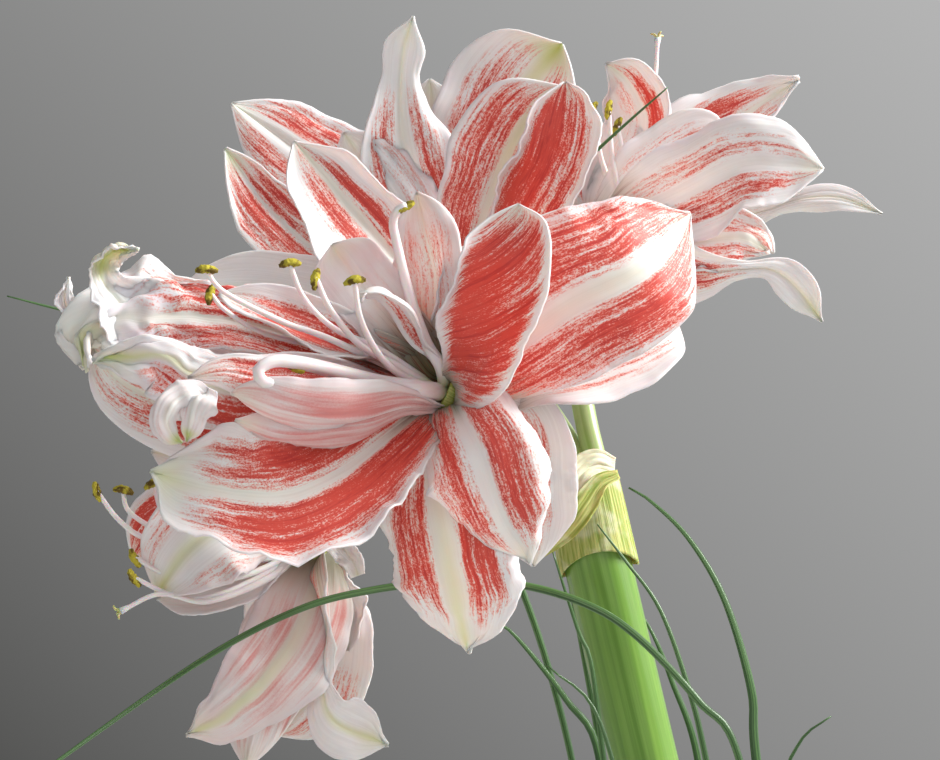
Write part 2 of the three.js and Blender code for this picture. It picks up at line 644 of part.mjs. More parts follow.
function soilBody() {
  const floor = POT_FLOOR + GAP;
  const edge = SOIL_LEVEL - 3;
  const bed = turned([
    [0, floor],
    [potInside(floor) - GAP, floor],
    [potInside(edge) - GAP, edge],
    [62, SOIL_LEVEL],
    [BULB_RADIUS + 4, SOIL_LEVEL + 2],
    [42.6 + 2 * GAP, SOIL_LEVEL + 1],
    [BULB_RADIUS + 2 * GAP, 102],
    ...BULB_SIDE.slice(0, -1).reverse().map(([r, z]) => [r + GAP, z - GAP]),
    [0, BULB_BOTTOM - GAP],
  ]);
  const holes = Object.values(TUFTS).map(([x, y]) => {
    const hole = new THREE.CylinderGeometry(TUFT_RADIUS + GAP, TUFT_RADIUS + GAP, 40, 10);
    return toSolid(hole.rotateX(Math.PI / 2).translate(x, y, SOIL_LEVEL - TUFT_DEPTH - GAP + 20));
  });
  return toGeometry(holes.reduce((soil, hole) => soil.subtract(hole), toSolid(bed)));
}

function potBody() {
  const inner = potInside(POT_INNER_TOP);
  return turned([
    [0, 0],
    [POT_FOOT_RADIUS - 1.5, 0],
    [POT_FOOT_RADIUS, 1.5],
    [POT_FOOT_RADIUS + 0.6, 4],
    [POT_TOP_RADIUS - 3, POT_HEIGHT - 13],
    [POT_TOP_RADIUS, POT_HEIGHT - 11],
    [POT_TOP_RADIUS, POT_HEIGHT - 2],
    [POT_TOP_RADIUS - 1.2, POT_HEIGHT - 0.4],
    [POT_TOP_RADIUS - 2.5, POT_HEIGHT],
    [inner + 1.5, POT_HEIGHT - 0.6],
    [inner, POT_INNER_TOP],
    [potInside(POT_FLOOR), POT_FLOOR],
    [0, POT_FLOOR],
  ]);
}

// Strap leaves from the bulb's neck. Points here are from the origin.

const LEAVES = {
  leaf_right: { path: [[17.4, 1.5, 166.8], [24, 6, 196], [46, 16, 238], [86, 30, 262], [132, 42, 240]],
    width: 36 },
  leaf_left: { path: [[-17.4, -2, 166.8], [-22, -4, 194], [-42, -12, 236], [-84, -26, 264], [-136, -42, 248]],
    width: 38 },
  leaf_back: { path: [[-1.5, 17.4, 166.8], [2, 26, 194], [16, 52, 226], [38, 92, 242], [60, 128, 226]],
    width: 34 },
  leaf_front: { path: [[4, -17, 166.8], [5, -20, 186], [8, -28, 214], [8, -46, 240]], width: 26 },
};

function leafBody({ path, width }) {
  const points = path.map(vec);
  const inner = new THREE.Vector3(-path[0][0], -path[0][1], 0).normalize();
  return blade({
    points,
    inner,
    width,
    cup: [42, 22, 14],
    thickness: LEAF_THICKNESS,
    claw: 0.6,
    widest: 0.5,
    sharp: 3.5,
    ruffle: 0,
  });
}

// Long thin blades that stand in three tufts round the bulb

const GRASS = {
  grass_right: [
    [[128, -24, -330], [112, -29, -215], [100, -30, -133], [98, -32, -108], [89, -30, -77], [77, -26, -56],
      [64, -22, -43], [56, -20, -38]],
    [[126, -34, -320], [108, -40, -210], [93, -40, -131], [79, -40, -111], [59, -34, -90], [42, -29, -79],
      [18, -25, -72], [-8, -26, -71], [-33, -32, -73], [-59, -44, -79], [-91, -60, -95], [-133, -100, -123],
      [-156, -118, -140]],
    [[122, -24, -320], [98, -26, -210], [83, -25, -134], [77, -24, -109], [67, -22, -81], [55, -20, -64],
      [45, -18.5, -51]],
    [[134, -14, -320], [118, -6, -210], [113, -2, -150], [119, 0, -130], [130, 0, -121]],
  ],
  grass_front: [
    [[60, -44, -320], [52, -30, -210], [46, -17, -135], [34, -18, -113], [16, -24, -90], [8, -30, -84]],
    [[64, -42, -300], [60, -30, -190], [46, -24, -121], [27, -26, -100]],
    [[66, -40, -340], [60, -30, -220], [48, -20, -140], [43, -17, -101], [38, -17, -88], [29, -19, -60]],
  ],
  grass_rear: [
    [[80, 42, -300], [90, 34, -200], [84, 24, -140], [74, 23, -110], [68, 22, -95], [62, 26, -84]],
    [[58, 58, -300], [40, 66, -150], [6, 60, -50], [-40, 40, -2], [-90, 8, 16], [-135, -28, 23],
      [-160, -40, 29]],
  ],
};

function grassBlade(base, path) {
  const points = [base, ...path.map(at)];
  const curve = curveThrough(points);
  const steps = Math.round(1.6 * path.length);
  const loops = [];
  for (let i = 0; i <= steps; i += 1) {
    const t = i / steps;
    const tangent = curve.getTangentAt(t);
    const look = new THREE.Vector3(0.3, -1, 0.2);
    look.addScaledVector(tangent, -look.dot(tangent)).normalize();
    const side = new THREE.Vector3().crossVectors(tangent, look);
    const half = (GRASS_WIDTH / 2) * Math.sqrt(Math.min(1, 1.02 - t) / 1.02);
    const thin = GRASS_THICKNESS / 2;
    loops.push([[half, thin], [-half, thin], [-half, -thin], [half, -thin]].map(([a, b]) => {
      return curve.getPointAt(t).addScaledVector(side, a).addScaledVector(look, b);
    }));
  }
  return skinned(loops);
}

function grassBody(name) {
  const [x, y] = TUFTS[name];
  const bottom = SOIL_LEVEL - TUFT_DEPTH;
  const crown = turned([[0, bottom], [TUFT_RADIUS, bottom], [TUFT_RADIUS, SOIL_LEVEL], [4.5, SOIL_LEVEL + 6],
    [0, SOIL_LEVEL + 8]], 10);
  const solids = [toSolid(crown.translate(x, y, 0))];
  GRASS[name].forEach((path, i) => {
    const turn = (2 * Math.PI * i) / GRASS[name].length;
    const base = new THREE.Vector3(x + 2.4 * Math.cos(turn), y + 2.4 * Math.sin(turn), bottom + 5);
    solids.push(toSolid(grassBlade(base, path)));
  });
  return toGeometry(joined(solids));
}

// Assembly

const plant = new THREE.Group();

function add(name, geometry, color, roughness) {
  const material = new THREE.MeshStandardMaterial({ color, roughness, metalness: 0 });
  const mesh = new THREE.Mesh(geometry, material);
  mesh.name = name;
  plant.add(mesh);
}

add('pot', potBody(), 0xcfc8bc, 0.4);
add('soil', soilBody(), 0x33261c, 1);
add('bulb', bulbBody(), 0x8a5a32, 0.7);
add('scape', scapeBody(), 0x7fae2f, 0.45);
add('spathe', spatheBody(), 0xc9cc7c, 0.8);
for (const [name, bloom] of Object.entries(BLOOMS)) {
  add(name, bloomBody(bloom), 0xf3dcd8, 0.5);
}
for (const [name, leaf] of Object.entries(LEAVES)) {
  add(name, leafBody(leaf), 0x4f8a35, 0.5);
}
for (const name of Object.keys(TUFTS)) {
  add(name, grassBody(name), 0x4c7a3a, 0.6);
}

export default plant;
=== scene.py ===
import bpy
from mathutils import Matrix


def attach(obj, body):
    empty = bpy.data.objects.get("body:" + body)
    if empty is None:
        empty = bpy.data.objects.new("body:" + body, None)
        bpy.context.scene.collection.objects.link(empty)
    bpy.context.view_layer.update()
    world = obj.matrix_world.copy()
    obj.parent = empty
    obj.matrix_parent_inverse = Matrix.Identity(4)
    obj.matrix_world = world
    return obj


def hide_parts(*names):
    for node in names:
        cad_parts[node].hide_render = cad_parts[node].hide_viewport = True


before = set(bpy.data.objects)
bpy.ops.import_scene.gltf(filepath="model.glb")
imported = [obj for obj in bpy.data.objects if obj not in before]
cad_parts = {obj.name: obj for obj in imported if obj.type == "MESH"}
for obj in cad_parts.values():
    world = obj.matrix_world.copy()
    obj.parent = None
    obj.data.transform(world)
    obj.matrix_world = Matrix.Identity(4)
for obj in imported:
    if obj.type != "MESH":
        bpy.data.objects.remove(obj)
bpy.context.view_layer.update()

import bisect
import math
import random

import bmesh
import bpy
from mathutils import Matrix, Vector, noise

noise.seed_set(5)  # the same crumpling on every run

# Potted amaryllis. Sizes in the tables are millimetres, the scene is in metres.
# Paths of flowers and grass start from the middle of the flower head, leaf paths from the pot's base.
# x runs to the right, y away from the camera and z up.
mm = 0.001
head = Vector((-92, 0, 570))


def clamp(value, low=0.0, high=1.0):
    return max(low, min(high, value))


def smooth(low, high, value):
    t = clamp((value - low) / (high - low))
    return t * t * (3 - 2 * t)


def mix(a, b, t):
    return a + (b - a) * t


def hump(value, middle, width):
    return math.exp(-(((value - middle) / width) ** 2))


# value of an evenly spaced list at t from 0 to 1
def along(values, t):
    place = clamp(t) * (len(values) - 1)
    i = min(int(place), len(values) - 2)
    return mix(values[i], values[i + 1], place - i)


# a smooth curve from b to c, which also heeds the values before and after them
def curve(a, b, c, d, s):
    return b + ((c - a) * s + ((2 * a - 5 * b + 4 * c - d) * s ** 2 + (3 * b - a - 3 * c + d) * s ** 3)) / 2


# the same as along, on a smooth curve
def curveAt(values, t):
    place = clamp(t) * (len(values) - 1)
    i = min(int(place), len(values) - 2)
    return curve(*(values[min(max(i + k, 0), len(values) - 1)] for k in (-1, 0, 1, 2)), place - i)


# sRGB 0 to 255, as seen on the plant, to the renderer's linear colour
def colour(red, green, blue):
    linear = [((c / 255 + 0.055) / 1.055) ** 2.4 if c > 10 else c / 255 / 12.92 for c in (red, green, blue)]
    return (*linear, 1.0)


# A smooth path through points, walked by its length
class Path:
    def __init__(self, points, fineness=24):
        points = [Vector(p) for p in points]
        ends = [points[0] * 2 - points[1], *points, points[-1] * 2 - points[-2]]
        self.points = []
        for i in range(len(points) - 1):
            self.points += [curve(*ends[i:i + 4], k / fineness) for k in range(fineness)]
        self.points.append(points[-1])
        self.marks = [0.0]
        for p, q in zip(self.points, self.points[1:]):
            self.marks.append(self.marks[-1] + (q - p).length)
        self.length = self.marks[-1]

    def at(self, t):
        wanted = clamp(t) * self.length
        i = min(max(bisect.bisect_right(self.marks, wanted) - 1, 0), len(self.points) - 2)
        share = (wanted - self.marks[i]) / (self.marks[i + 1] - self.marks[i])
        return self.points[i].lerp(self.points[i + 1], share)

    def tangent(self, t):
        return (self.at(t + 0.01) - self.at(t - 0.01)).normalized()

    # the stretch between two lengths, as points
    def stretch(self, start, end, count):
        return [self.at(mix(start, end, i / (count - 1)) / self.length) for i in range(count)]


# Shader nodes

# A socket whose arithmetic adds Math nodes to its own tree
class Wire:
    def __init__(self, finish, socket):
        self.finish = finish
        self.socket = socket

    def math(self, operation, *others):
        sockets = dict(enumerate((self, *others)))
        return self.finish.node("Math", {"operation": operation}, sockets)

    def __add__(self, other):
        return self.math("ADD", other)

    def __sub__(self, other):
        return self.math("SUBTRACT", other)

    def __rsub__(self, other):
        return self * -1 + other

    def __mul__(self, other):
        return self.math("MULTIPLY", other)

    __radd__ = __add__
    __rmul__ = __mul__

    def smooth(self, low, high):
        settings = {"interpolation_type": "SMOOTHSTEP"}
        return self.finish.node("MapRange", settings, {0: self, 1: low, 2: high})


# The node tree of a new material, or of the world
class Finish:
    def __init__(self, name, library=bpy.data.materials):
        self.owner = library.new(name)
        self.owner.use_nodes = True
        self.tree = self.owner.node_tree
        self.tree.nodes.clear()

    # a node of a type, with its settings and then the values or wires of its sockets
    def node(self, kind, settings=None, sockets=None, output=0):
        made = self.tree.nodes.new("ShaderNode" + kind)
        for key, value in (settings or {}).items():
            setattr(made, key, value)
        for key, value in (sockets or {}).items():
            if isinstance(value, Wire):
                self.tree.links.new(value.socket, made.inputs[key])
            else:
                made.inputs[key].default_value = value
        return Wire(self, made.outputs[output])

    def blend(self, low, high, factor):
        return self.node("Mix", {"data_type": "RGBA"}, {0: factor, 6: low, 7: high}, 2)

    def attribute(self, name):
        return self.node("Attribute", {"attribute_name": name}, None, 2)

    # the piece's own map, in centimetres across and along, stretched and moved by a seed
    def map(self, across, lengthways, seed=0.0):
        uv = self.node("UVMap", {"uv_map": "cm"})
        spread = self.node("VectorMath", {"operation": "MULTIPLY"}, {0: uv, 1: (across, lengthways, 0)})
        shift = self.node("CombineXYZ", None, {2: seed})
        return self.node("VectorMath", {"operation": "ADD"}, {0: spread, 1: shift})

    def place(self, scale=(1, 1, 1)):
        here = self.node("TexCoord", None, None, 3)
        return self.node("VectorMath", {"operation": "MULTIPLY"}, {0: here, 1: scale})

    def noise(self, vector, scale=1.0, detail=2.0, roughness=0.5):
        sockets = {"Vector": vector, "Scale": scale, "Detail": detail, "Roughness": roughness}
        return self.node("TexNoise", None, sockets)

    def bump(self, height, strength, distance):
        sockets = {"Height": height, "Strength": strength, "Distance": distance}
        return self.node("Bump", None, sockets)

    def done(self, sockets, kind="BsdfPrincipled", end="OutputMaterial"):
        shader = self.node(kind, None, sockets)
        out = self.tree.nodes.new("ShaderNode" + end)
        self.tree.links.new(shader.socket, out.inputs[0])
        return self.owner


# Making pieces

# The map of a piece, in centimetres
def mapLayer(bm):
    return bm.loops.layers.uv.get("cm") or bm.loops.layers.uv.new("cm")


# A value at each vertex, which a finish reads by name
def valueLayer(bm, name):
    return bm.verts.layers.float.get(name) or bm.verts.layers.float.new(name)


# Faces round some vertices, in the same order on every run
def facesOf(verts):
    return list(dict.fromkeys(face for vert in verts for face in vert.link_faces))


# Writes the map from a rule on the places of the vertices
def mapFaces(faces, uv, rule):
    for face in faces:
        for loop in face.loops:
            loop[uv].uv = rule(*loop.vert.co)


# Turns a bmesh in millimetres into a finished piece at the origin
def piece(name, bm, materials, node, thickness=None):
    bmesh.ops.scale(bm, vec=(mm, mm, mm), verts=bm.verts)
    mesh = bpy.data.meshes.new(name)
    bm.to_mesh(mesh)
    bm.free()
    made = bpy.data.objects.new(name, mesh)
    bpy.context.collection.objects.link(made)
    for material in materials:
        mesh.materials.append(material)
    for face in mesh.polygons:
        face.use_smooth = True
    if thickness:
        shell = made.modifiers.new("thickness", "SOLIDIFY")
        shell.thickness = thickness * mm
        shell.offset = 0
        shell.material_offset = len(materials) - 1
    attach(made, "root")
    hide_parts(node)
    return made


# A round stem along a path. shape gives the radius at t and at an angle round it.
def addStem(bm, path, shape, sides, steps, seed=0.0, look=None):
    uv, seeds = mapLayer(bm), valueLayer(bm, "seed")
    made = bmesh.ops.create_grid(bm, x_segments=sides, y_segments=steps, size=1)["verts"]
    girth = 2 * math.pi * shape(0.5, 0)
    mapFaces(facesOf(made), uv, lambda x, y, z: ((x + 1) / 20 * girth, (y + 1) / 20 * path.length))
    rows = {}
    normal = path.tangent(0).orthogonal()
    for key in sorted({round(vert.co.y, 5) for vert in made}):
        t = (key + 1) / 2
        tangent = path.tangent(t)
        if look:
            normal = tangent.cross(look)
        normal = (normal - tangent * normal.dot(tangent)).normalized()
        rows[key] = (t, path.at(t), normal.copy(), tangent.cross(normal))
    for vert in made:
        t, middle, across, up = rows[round(vert.co.y, 5)]
        angle = (vert.co.x + 1) * math.pi
        vert.co = middle + (across * math.cos(angle) + up * math.sin(angle)) * shape(t, angle)
        vert[seeds] = seed
    bmesh.ops.remove_doubles(bm, verts=made, dist=1e-4)
    faces = facesOf(vert for vert in made if vert.is_valid)
    edges = dict.fromkeys(edge for face in faces for edge in face.edges)
    rims = [edge for edge in edges if edge.is_boundary]
    caps = bmesh.ops.holes_fill(bm, edges=rims, sides=0)["faces"]
    bmesh.ops.recalc_face_normals(bm, faces=[*faces, *caps])


# A profile of radius and height turned round an axis
def addTurned(bm, profile, sides, matrix=None):
    turns = [2 * math.pi * k / sides for k in range(sides)]
    rings = []
    for radius, height in profile:
        spots = turns if radius else turns[:1]
        rings.append([bm.verts.new((radius * math.cos(a), radius * math.sin(a), height)) for a in spots])
    faces = []
    for low, high in zip(rings, rings[1:]):
        for k in range(sides):
            corners = [ring[n % len(ring)] for ring, n in ((low, k), (low, k + 1), (high, k + 1), (high, k))]
            faces.append(bm.faces.new(dict.fromkeys(corners)))
    mapFaces(faces, mapLayer(bm), lambda x, y, z: (math.atan2(y, x) * 2, z / 10))
    if matrix:
        bmesh.ops.transform(bm, matrix=matrix, verts=[vert for ring in rings for vert in ring])
    bmesh.ops.recalc_face_normals(bm, faces=faces)


# Half the width of a blade at t, as a share of its greatest half width
def outlineAt(t, form):
    if form["outline"]:
        return max(curveAt(form["outline"], t), 0.02)
    claw, widest = form["claw"], form["widest"]
    rise = claw + (1 - claw) * math.sin(math.pi / 2 * min(1, t / widest)) ** form["rise"]
    fall = 1 - max(0, (t - widest) / (1 - widest)) ** form["sharp"]
    return rise * max(fall, 0.02)


bladeForm = dict(
    outline=None,  # shares of the width from root to tip, in place of claw, widest, rise and sharp
    claw=0.2,  # share of the width at the root
    rise=1.3,
    widest=0.55,  # how far up the blade is at its widest
    sharp=2.8,
    face=None,  # where its inner side looks: one direction, or several from root to tip
    roll=((0,), (0,)),  # degrees that the rim turns in, from root to tip, on the u < 0 and the u > 0 half
    rollFrom=0.5,  # where the rolled rim starts
    halves=(1, 1),  # share of the width that each half has
    ruffle=1.6,  # height of the long waves at the rim
    waves=2.5,
    frill=0.6,  # height of the small uneven waves at the rim
    jag=0.08,  # unevenness of the outline
    warp=1.1,
    pleat=0.7,
    crumple=0,  # how far the tip is crumpled
    keel=0.8,  # depth of the groove along the midrib
    slant=0,  # how far the veins lean across the blade
    least=0.4,  # least half width
    fineness=(32, 56),  # faces across and along
)


# Places and turns across half a blade, from its midrib to its rim
def crossSection(width, cup, roll, start, count):
    places = [(0.0, 0.0, 0.0)]
    x = y = 0.0
    parts = 4
    for k in range(count * parts):
        s = (k + 0.5) / (count * parts)
        angle = cup * s + roll * smooth(start, 1, s)
        x += width / (count * parts) * math.cos(angle)
        y += width / (count * parts) * math.sin(angle)
        if k % parts == parts - 1:
            places.append((x, y, angle))
    return places


# A curved blade: a petal, a leaf or a bract. paint(u, t) gives the values its finish reads.
def addBlade(bm, path, inner, form, layers, paint, seed):
    uv = mapLayer(bm)
    values = [valueLayer(bm, name) for name in (*layers, "seed")]
    across, steps = form["fineness"]
    made = bmesh.ops.create_grid(bm, x_segments=across, y_segments=steps, size=1)["verts"]
    half = form["width"] / 2
    slant = form["slant"]

    def place(x, y, z):
        near = mix(half, half * outlineAt((y + 1) / 2, form), 0.55)
        return (x * near + slant * y * half) / 10, (y + 1) / 20 * path.length

    mapFaces(facesOf(made), uv, place)
    faces = form["face"]
    if faces and not isinstance(faces[0], tuple):
        faces = [faces, faces]
    rows = {}
    normal = inner.copy()
    for key in sorted({round(vert.co.y, 5) for vert in made}):
        t = (key + 1) / 2
        tangent = path.tangent(t)
        normal = (normal - tangent * normal.dot(tangent)).normalized()
        look = normal.copy()
        if faces:
            wanted = Vector([along([one[axis] for one in faces], t) for axis in range(3)]).normalized()
            look = look.lerp(wanted, smooth(-0.4, 0.4, t))
            look = (look - tangent * look.dot(tangent)).normalized()
        width = max(half * outlineAt(t, form), form["least"])
        cup = math.radians(along(form["cup"], t))
        sections = []
        for k in range(2):
            roll = math.radians(along((*form["roll"][k], form["roll"][k][-1]), t))
            edge = width * form["halves"][k] * (1 + form["jag"] * noise.noise(Vector((t * 7, k * 5.5, seed))))
            sections.append(crossSection(edge, cup, roll, form["rollFrom"], across // 2))
        rows[key] = (t, path.at(t), tangent.cross(look), look, sections)
    for vert in made:
        t, middle, side, look, sections = rows[round(vert.co.y, 5)]
        u = vert.co.x
        x, y, angle = sections[u > 0][round(abs(u) * (across // 2))]
        sign = math.copysign(1, u)
        phase = 2.1 * seed + (1.9 if u > 0 else 0)
        wave = form["ruffle"] * abs(u) ** 2.5 * math.sin(2 * form["waves"] * math.pi * t + phase)
        rim = noise.noise(Vector((t * 16, sign * 3.7, seed)))
        rim += 0.4 * noise.noise(Vector((t * 38, sign, seed)))
        wave += form["frill"] * 2 * abs(u) ** 4 * rim
        wave += form["warp"] * noise.noise(Vector((u * 1.3, t * 4, seed))) * 2
        wave += form["pleat"] * noise.noise(Vector((u * 6, t * 1.2, seed + 5)))
        wave -= form["keel"] * hump(u, 0, 0.09)
        wave *= math.sin(math.pi * clamp(t, 0, 0.97)) ** 0.7
        vert.co = middle + side * (sign * x) + look * y
        vert.co += (look * math.cos(angle) - side * (sign * math.sin(angle))) * wave
        if form["crumple"]:
            crease = noise.noise_vector(Vector((u * 1.9, t * 9, seed)))
            crease += 0.5 * noise.noise_vector(Vector((u * 4.5, t * 21, seed)))
            vert.co += crease * form["crumple"] * smooth(0.5, 0.8, t) * (0.35 + 0.65 * abs(u))
        for layer, value in zip(values, (*paint(u, t), seed)):
            vert[layer] = value


# Petals

petalLayers = ("band", "rib", "green", "tip", "rim", "blush")

petalForm = dict(
    bladeForm,
    bands=(0.8, 0.8),  # red, on the u < 0 half and on the u > 0 half
    zone=(0.15, 0.78),  # from the midrib to the rim
    reach=(0.12, 0.9),  # from the throat to the tip
    blush=0.12,
    ribGreen=0.35,
    tipGreen=0.25,
    greenFrom=0.9,  # where the green of the tip starts
    # the dark olive of the throat is partly the petals' own green and partly painted shade deep in the throat
    throat=(0.04, 0.34),  # where the green of the throat fades
    violet=0.15,
    free=False,  # starts at its own first point, not at the throat
)


# A petal: its width, how many degrees each half is cupped from root to tip, and its midrib
def petal(width, cup, path, **differs):
    return {**petalForm, **differs, "width": width, "cup": cup, "path": path}


# A filament, with the way its anther points, or the style
def stamen(path, anther=None, thick=1, style=False):
    return dict(path=path, anther=anther, thick=thick, style=style)


def petalPaint(form):
    inner, outer = form["zone"]
    start, end = form["reach"]

    def paint(u, t):
        side = abs(u)
        band = form["bands"][0] if u < 0 else form["bands"][1]
        band *= smooth(inner - 0.1, inner + 0.08, side) * (1 - smooth(outer - 0.25, outer + 0.12, side))
        band *= smooth(start - 0.1, start + 0.12, t) * (1 - smooth(end - 0.2, end + 0.1, t))
        rib = form["ribGreen"] * hump(side, 0, 0.16) * (0.4 + 0.6 * smooth(0.25, 0.9, t))
        tip = smooth(form["greenFrom"] - 0.05, form["greenFrom"] + 0.1, t) * hump(side, 0, 0.7)
        tip *= form["tipGreen"]
        # the throat's own green, also standing in for painted shade deep in the throat
        green = 0 if form["free"] else 1 - smooth(*form["throat"], t)
        rim = max(smooth(0.72, 1.0, side) * 0.6, form["violet"] * smooth(0.45, 0.8, t)) * (1 - green)
        return band, rib, green, tip, rim, form["blush"]

    return paint


petalColours = dict(
    white=colour(248, 245, 244),
    shadeWhite=colour(241, 237, 236),
    rib=colour(222, 226, 188),
    # dark olive: the throat's green, made darker as painted shade
    green=colour(92, 90, 32),
    tip=colour(178, 196, 92),
    rim=colour(236, 220, 232),
    blush=colour(236, 172, 168),
    coral=colour(234, 142, 128),
    red=colour(216, 72, 56),
    deepRed=colour(184, 30, 36),
    darkVein=colour(116, 44, 30),
    backRed=colour(222, 116, 112),
    backWhite=colour(242, 230, 229),
)


# inside and outside of a petal: the same markings, which only shine through faintly on the outside
def petalFinish(name, outside):
    c = petalColours
    f = Finish(name)
    band, rib, green, tip, rim, blush = (f.attribute(layer) for layer in petalLayers)
    seed = f.attribute("seed") * 7.3
    lines = f.noise(f.map(6.5, 0.2, seed), detail=3.0, roughness=0.62)
    broad = f.noise(f.map(2.2, 0.3, seed + 3.1), detail=2.0)
    dashes = f.noise(f.map(14.0, 2.2, seed + 8.3), detail=2.0, roughness=0.6)
    grain = f.noise(f.map(20.0, 13.0, seed + 5.7), detail=3.0, roughness=0.75)
    cloud = f.noise(f.map(0.9, 0.5, seed + 9.4), detail=2.0)
    veins = f.noise(f.map(13.0, 0.12, seed + 1.7), detail=2.0)
    ground = f.blend(c["backWhite"] if outside else c["white"], c["shadeWhite"], veins.smooth(0.38, 0.7))
    ground = f.blend(ground, c["rim"], rim * cloud.smooth(0.3, 0.6) * 0.7)
    ground = f.blend(ground, c["rib"], rib)
    ground = f.blend(ground, c["blush"], blush * cloud.smooth(0.15, 0.8))
    ground = f.blend(ground, c["tip"], tip * 0.85)
    # the throat's green, darkened as painted shade
    ground = f.blend(ground, c["green"], green * 0.9)
    if outside:
        wash = band * 0.6 + (lines - 0.5) * 1.5 + (broad - 0.5) * 1.6 + (grain - 0.5) * 0.5
        tinted = f.blend(ground, c["backRed"], wash.smooth(0.1, 0.95) * band.smooth(0.0, 0.3) * 0.8)
    else:
        streaks = (lines - 0.5) * 2.4 + (broad - 0.5) * 1.1 + (dashes - 0.5) * 1.5
        field = band + (streaks + (grain - 0.5) * 2.6) * band.smooth(0.0, 0.35)
        faint = f.blend(ground, c["coral"], (field + streaks * 0.2).smooth(0.1, 0.85) * 0.85)
        ink = f.blend(c["red"], c["deepRed"], (lines + (dashes - 0.5) * 0.5).smooth(0.5, 0.72) * 0.75)
        tinted = f.blend(faint, ink, field.smooth(0.7, 1.08) * 0.93)
        vein = (veins + (dashes - 0.5) * 0.3).smooth(0.52, 0.64) * green
        tinted = f.blend(tinted, c["darkVein"], vein * 0.8)
    relief = f.bump(veins * 0.6 + lines * 0.5, 0.3, 0.0006)
    return f.done({
        "Base Color": tinted,
        "Roughness": 0.5 + (grain - 0.5) * 0.3,
        "Normal": relief,
        "Subsurface Weight": 0.5,
        "Subsurface Radius": (0.9, 0.6, 0.5),
        "Subsurface Scale": 0.003,
        "Specular IOR Level": 0.4,
        "Sheen Weight": 0.15,
        "Sheen Roughness": 0.4,
    })


def stalkPath(bloom):
    axis = Vector(bloom["opens"]).normalized()
    tip = Vector(bloom["throat"])
    points = [*(Vector(p) for p in bloom["stalk"]), tip, tip + axis * bloomForm["heart"]]
    return Path([p + head for p in points])


bloomForm = dict(
    heart=10,  # how far the petals start below the throat
    petal=0.7,  # thickness
    tube=24,  # the bloom's own tube, above the ovary
    tubeRadius=5.2,
    throatRadius=12,
    filamentRadius=1.15,
    antherLength=7.5,
    antherRadius=1.5,
)


def addPetals(bm, bloom, seed):
    throat = head + Vector(bloom["throat"])
    axis = Vector(bloom["opens"]).normalized()
    for i, form in enumerate(bloom["petals"].values()):
        points = [head + Vector(p) for p in form["path"]]
        outward = points[1] - throat
        outward = (outward - axis * outward.dot(axis)).normalized()
        if not form["free"]:
            points.insert(0, throat + outward * 6 - axis * 3)
        addBlade(bm, Path(points), -outward, form, petalLayers, petalPaint(form), seed + i)


def throatFinish():
    f = Finish("throatGreen")
    lines = f.noise(f.map(9.0, 0.6), detail=2.0)
    shade = f.blend(colour(150, 160, 66), colour(196, 198, 120), lines.smooth(0.35, 0.7))
    return f.done({"Base Color": shade, "Roughness": 0.5, "Normal": f.bump(lines, 0.3, 0.0005),
                   "Subsurface Weight": 0.3, "Subsurface Scale": 0.003})


# the bloom's hollow tube, open at the throat
def addThroat(bm, bloom):
    path = stalkPath(bloom)
    start = path.length - bloomForm["tube"] - bloomForm["heart"]
    *_, before, end = path.stretch(start, path.length, 8)
    turn = (end - before).normalized().to_track_quat("Z", "Y").to_matrix().to_4x4()
    r, wide = bloomForm["tubeRadius"], bloomForm["throatRadius"]
    lip = mix(r, wide, 0.8)
    profile = [(0, -26), (r, -26), (r + 0.6, -16), (r + 2.5, -6), (lip, 1), (wide - 1, 5), (wide - 2, 5),
               (lip - 1.2, 1), (r + 1, -6), (r - 0.6, -14), (0, -17)]
    addTurned(bm, profile, 32, Matrix.Translation(head + Vector(bloom["throat"])) @ turn)


def filamentFinish():
    f = Finish("filamentWhite")
    up = f.node("SeparateXYZ", None, {0: f.map(1, 1)}, 1)
    shade = f.blend(colour(196, 206, 130), colour(247, 240, 240), up.smooth(0.2, 2.2))
    grain = f.noise(f.map(6, 0.8), detail=2.0)
    shade = f.blend(shade, colour(236, 206, 212), grain.smooth(0.45, 0.75) * 0.5)
    return f.done({"Base Color": shade, "Roughness": 0.42, "Normal": f.bump(grain, 0.2, 0.0003),
                   "Subsurface Weight": 0.4, "Subsurface Scale": 0.002})


def antherFinish():
    f = Finish("pollenYellow")
    grain = f.noise(f.place(), scale=1500, detail=3.0, roughness=0.7)
    patch = f.noise(f.place(), scale=320, detail=2.0)
    shade = f.blend(colour(196, 182, 58), colour(104, 82, 22), patch.smooth(0.46, 0.6))
    shade = f.blend(shade, colour(226, 214, 110), grain.smooth(0.55, 0.75) * 0.6)
    return f.done({"Base Color": shade, "Roughness": 0.9, "Normal": f.bump(grain, 0.8, 0.0006)})


# the three lobes at the end of a style
def addStigma(bm, tip, way, seed):
    for k in range(3):
        lobe = (way.orthogonal() @ Matrix.Rotation(k * 2.094, 3, way)).normalized()
        ends = [tip - way, tip + way * 1.2 + lobe * 1.2, tip + way * 1.6 + lobe * 3]
        addStem(bm, Path(ends), lambda t, angle: 0.75 - 0.4 * t, 8, 8, seed)


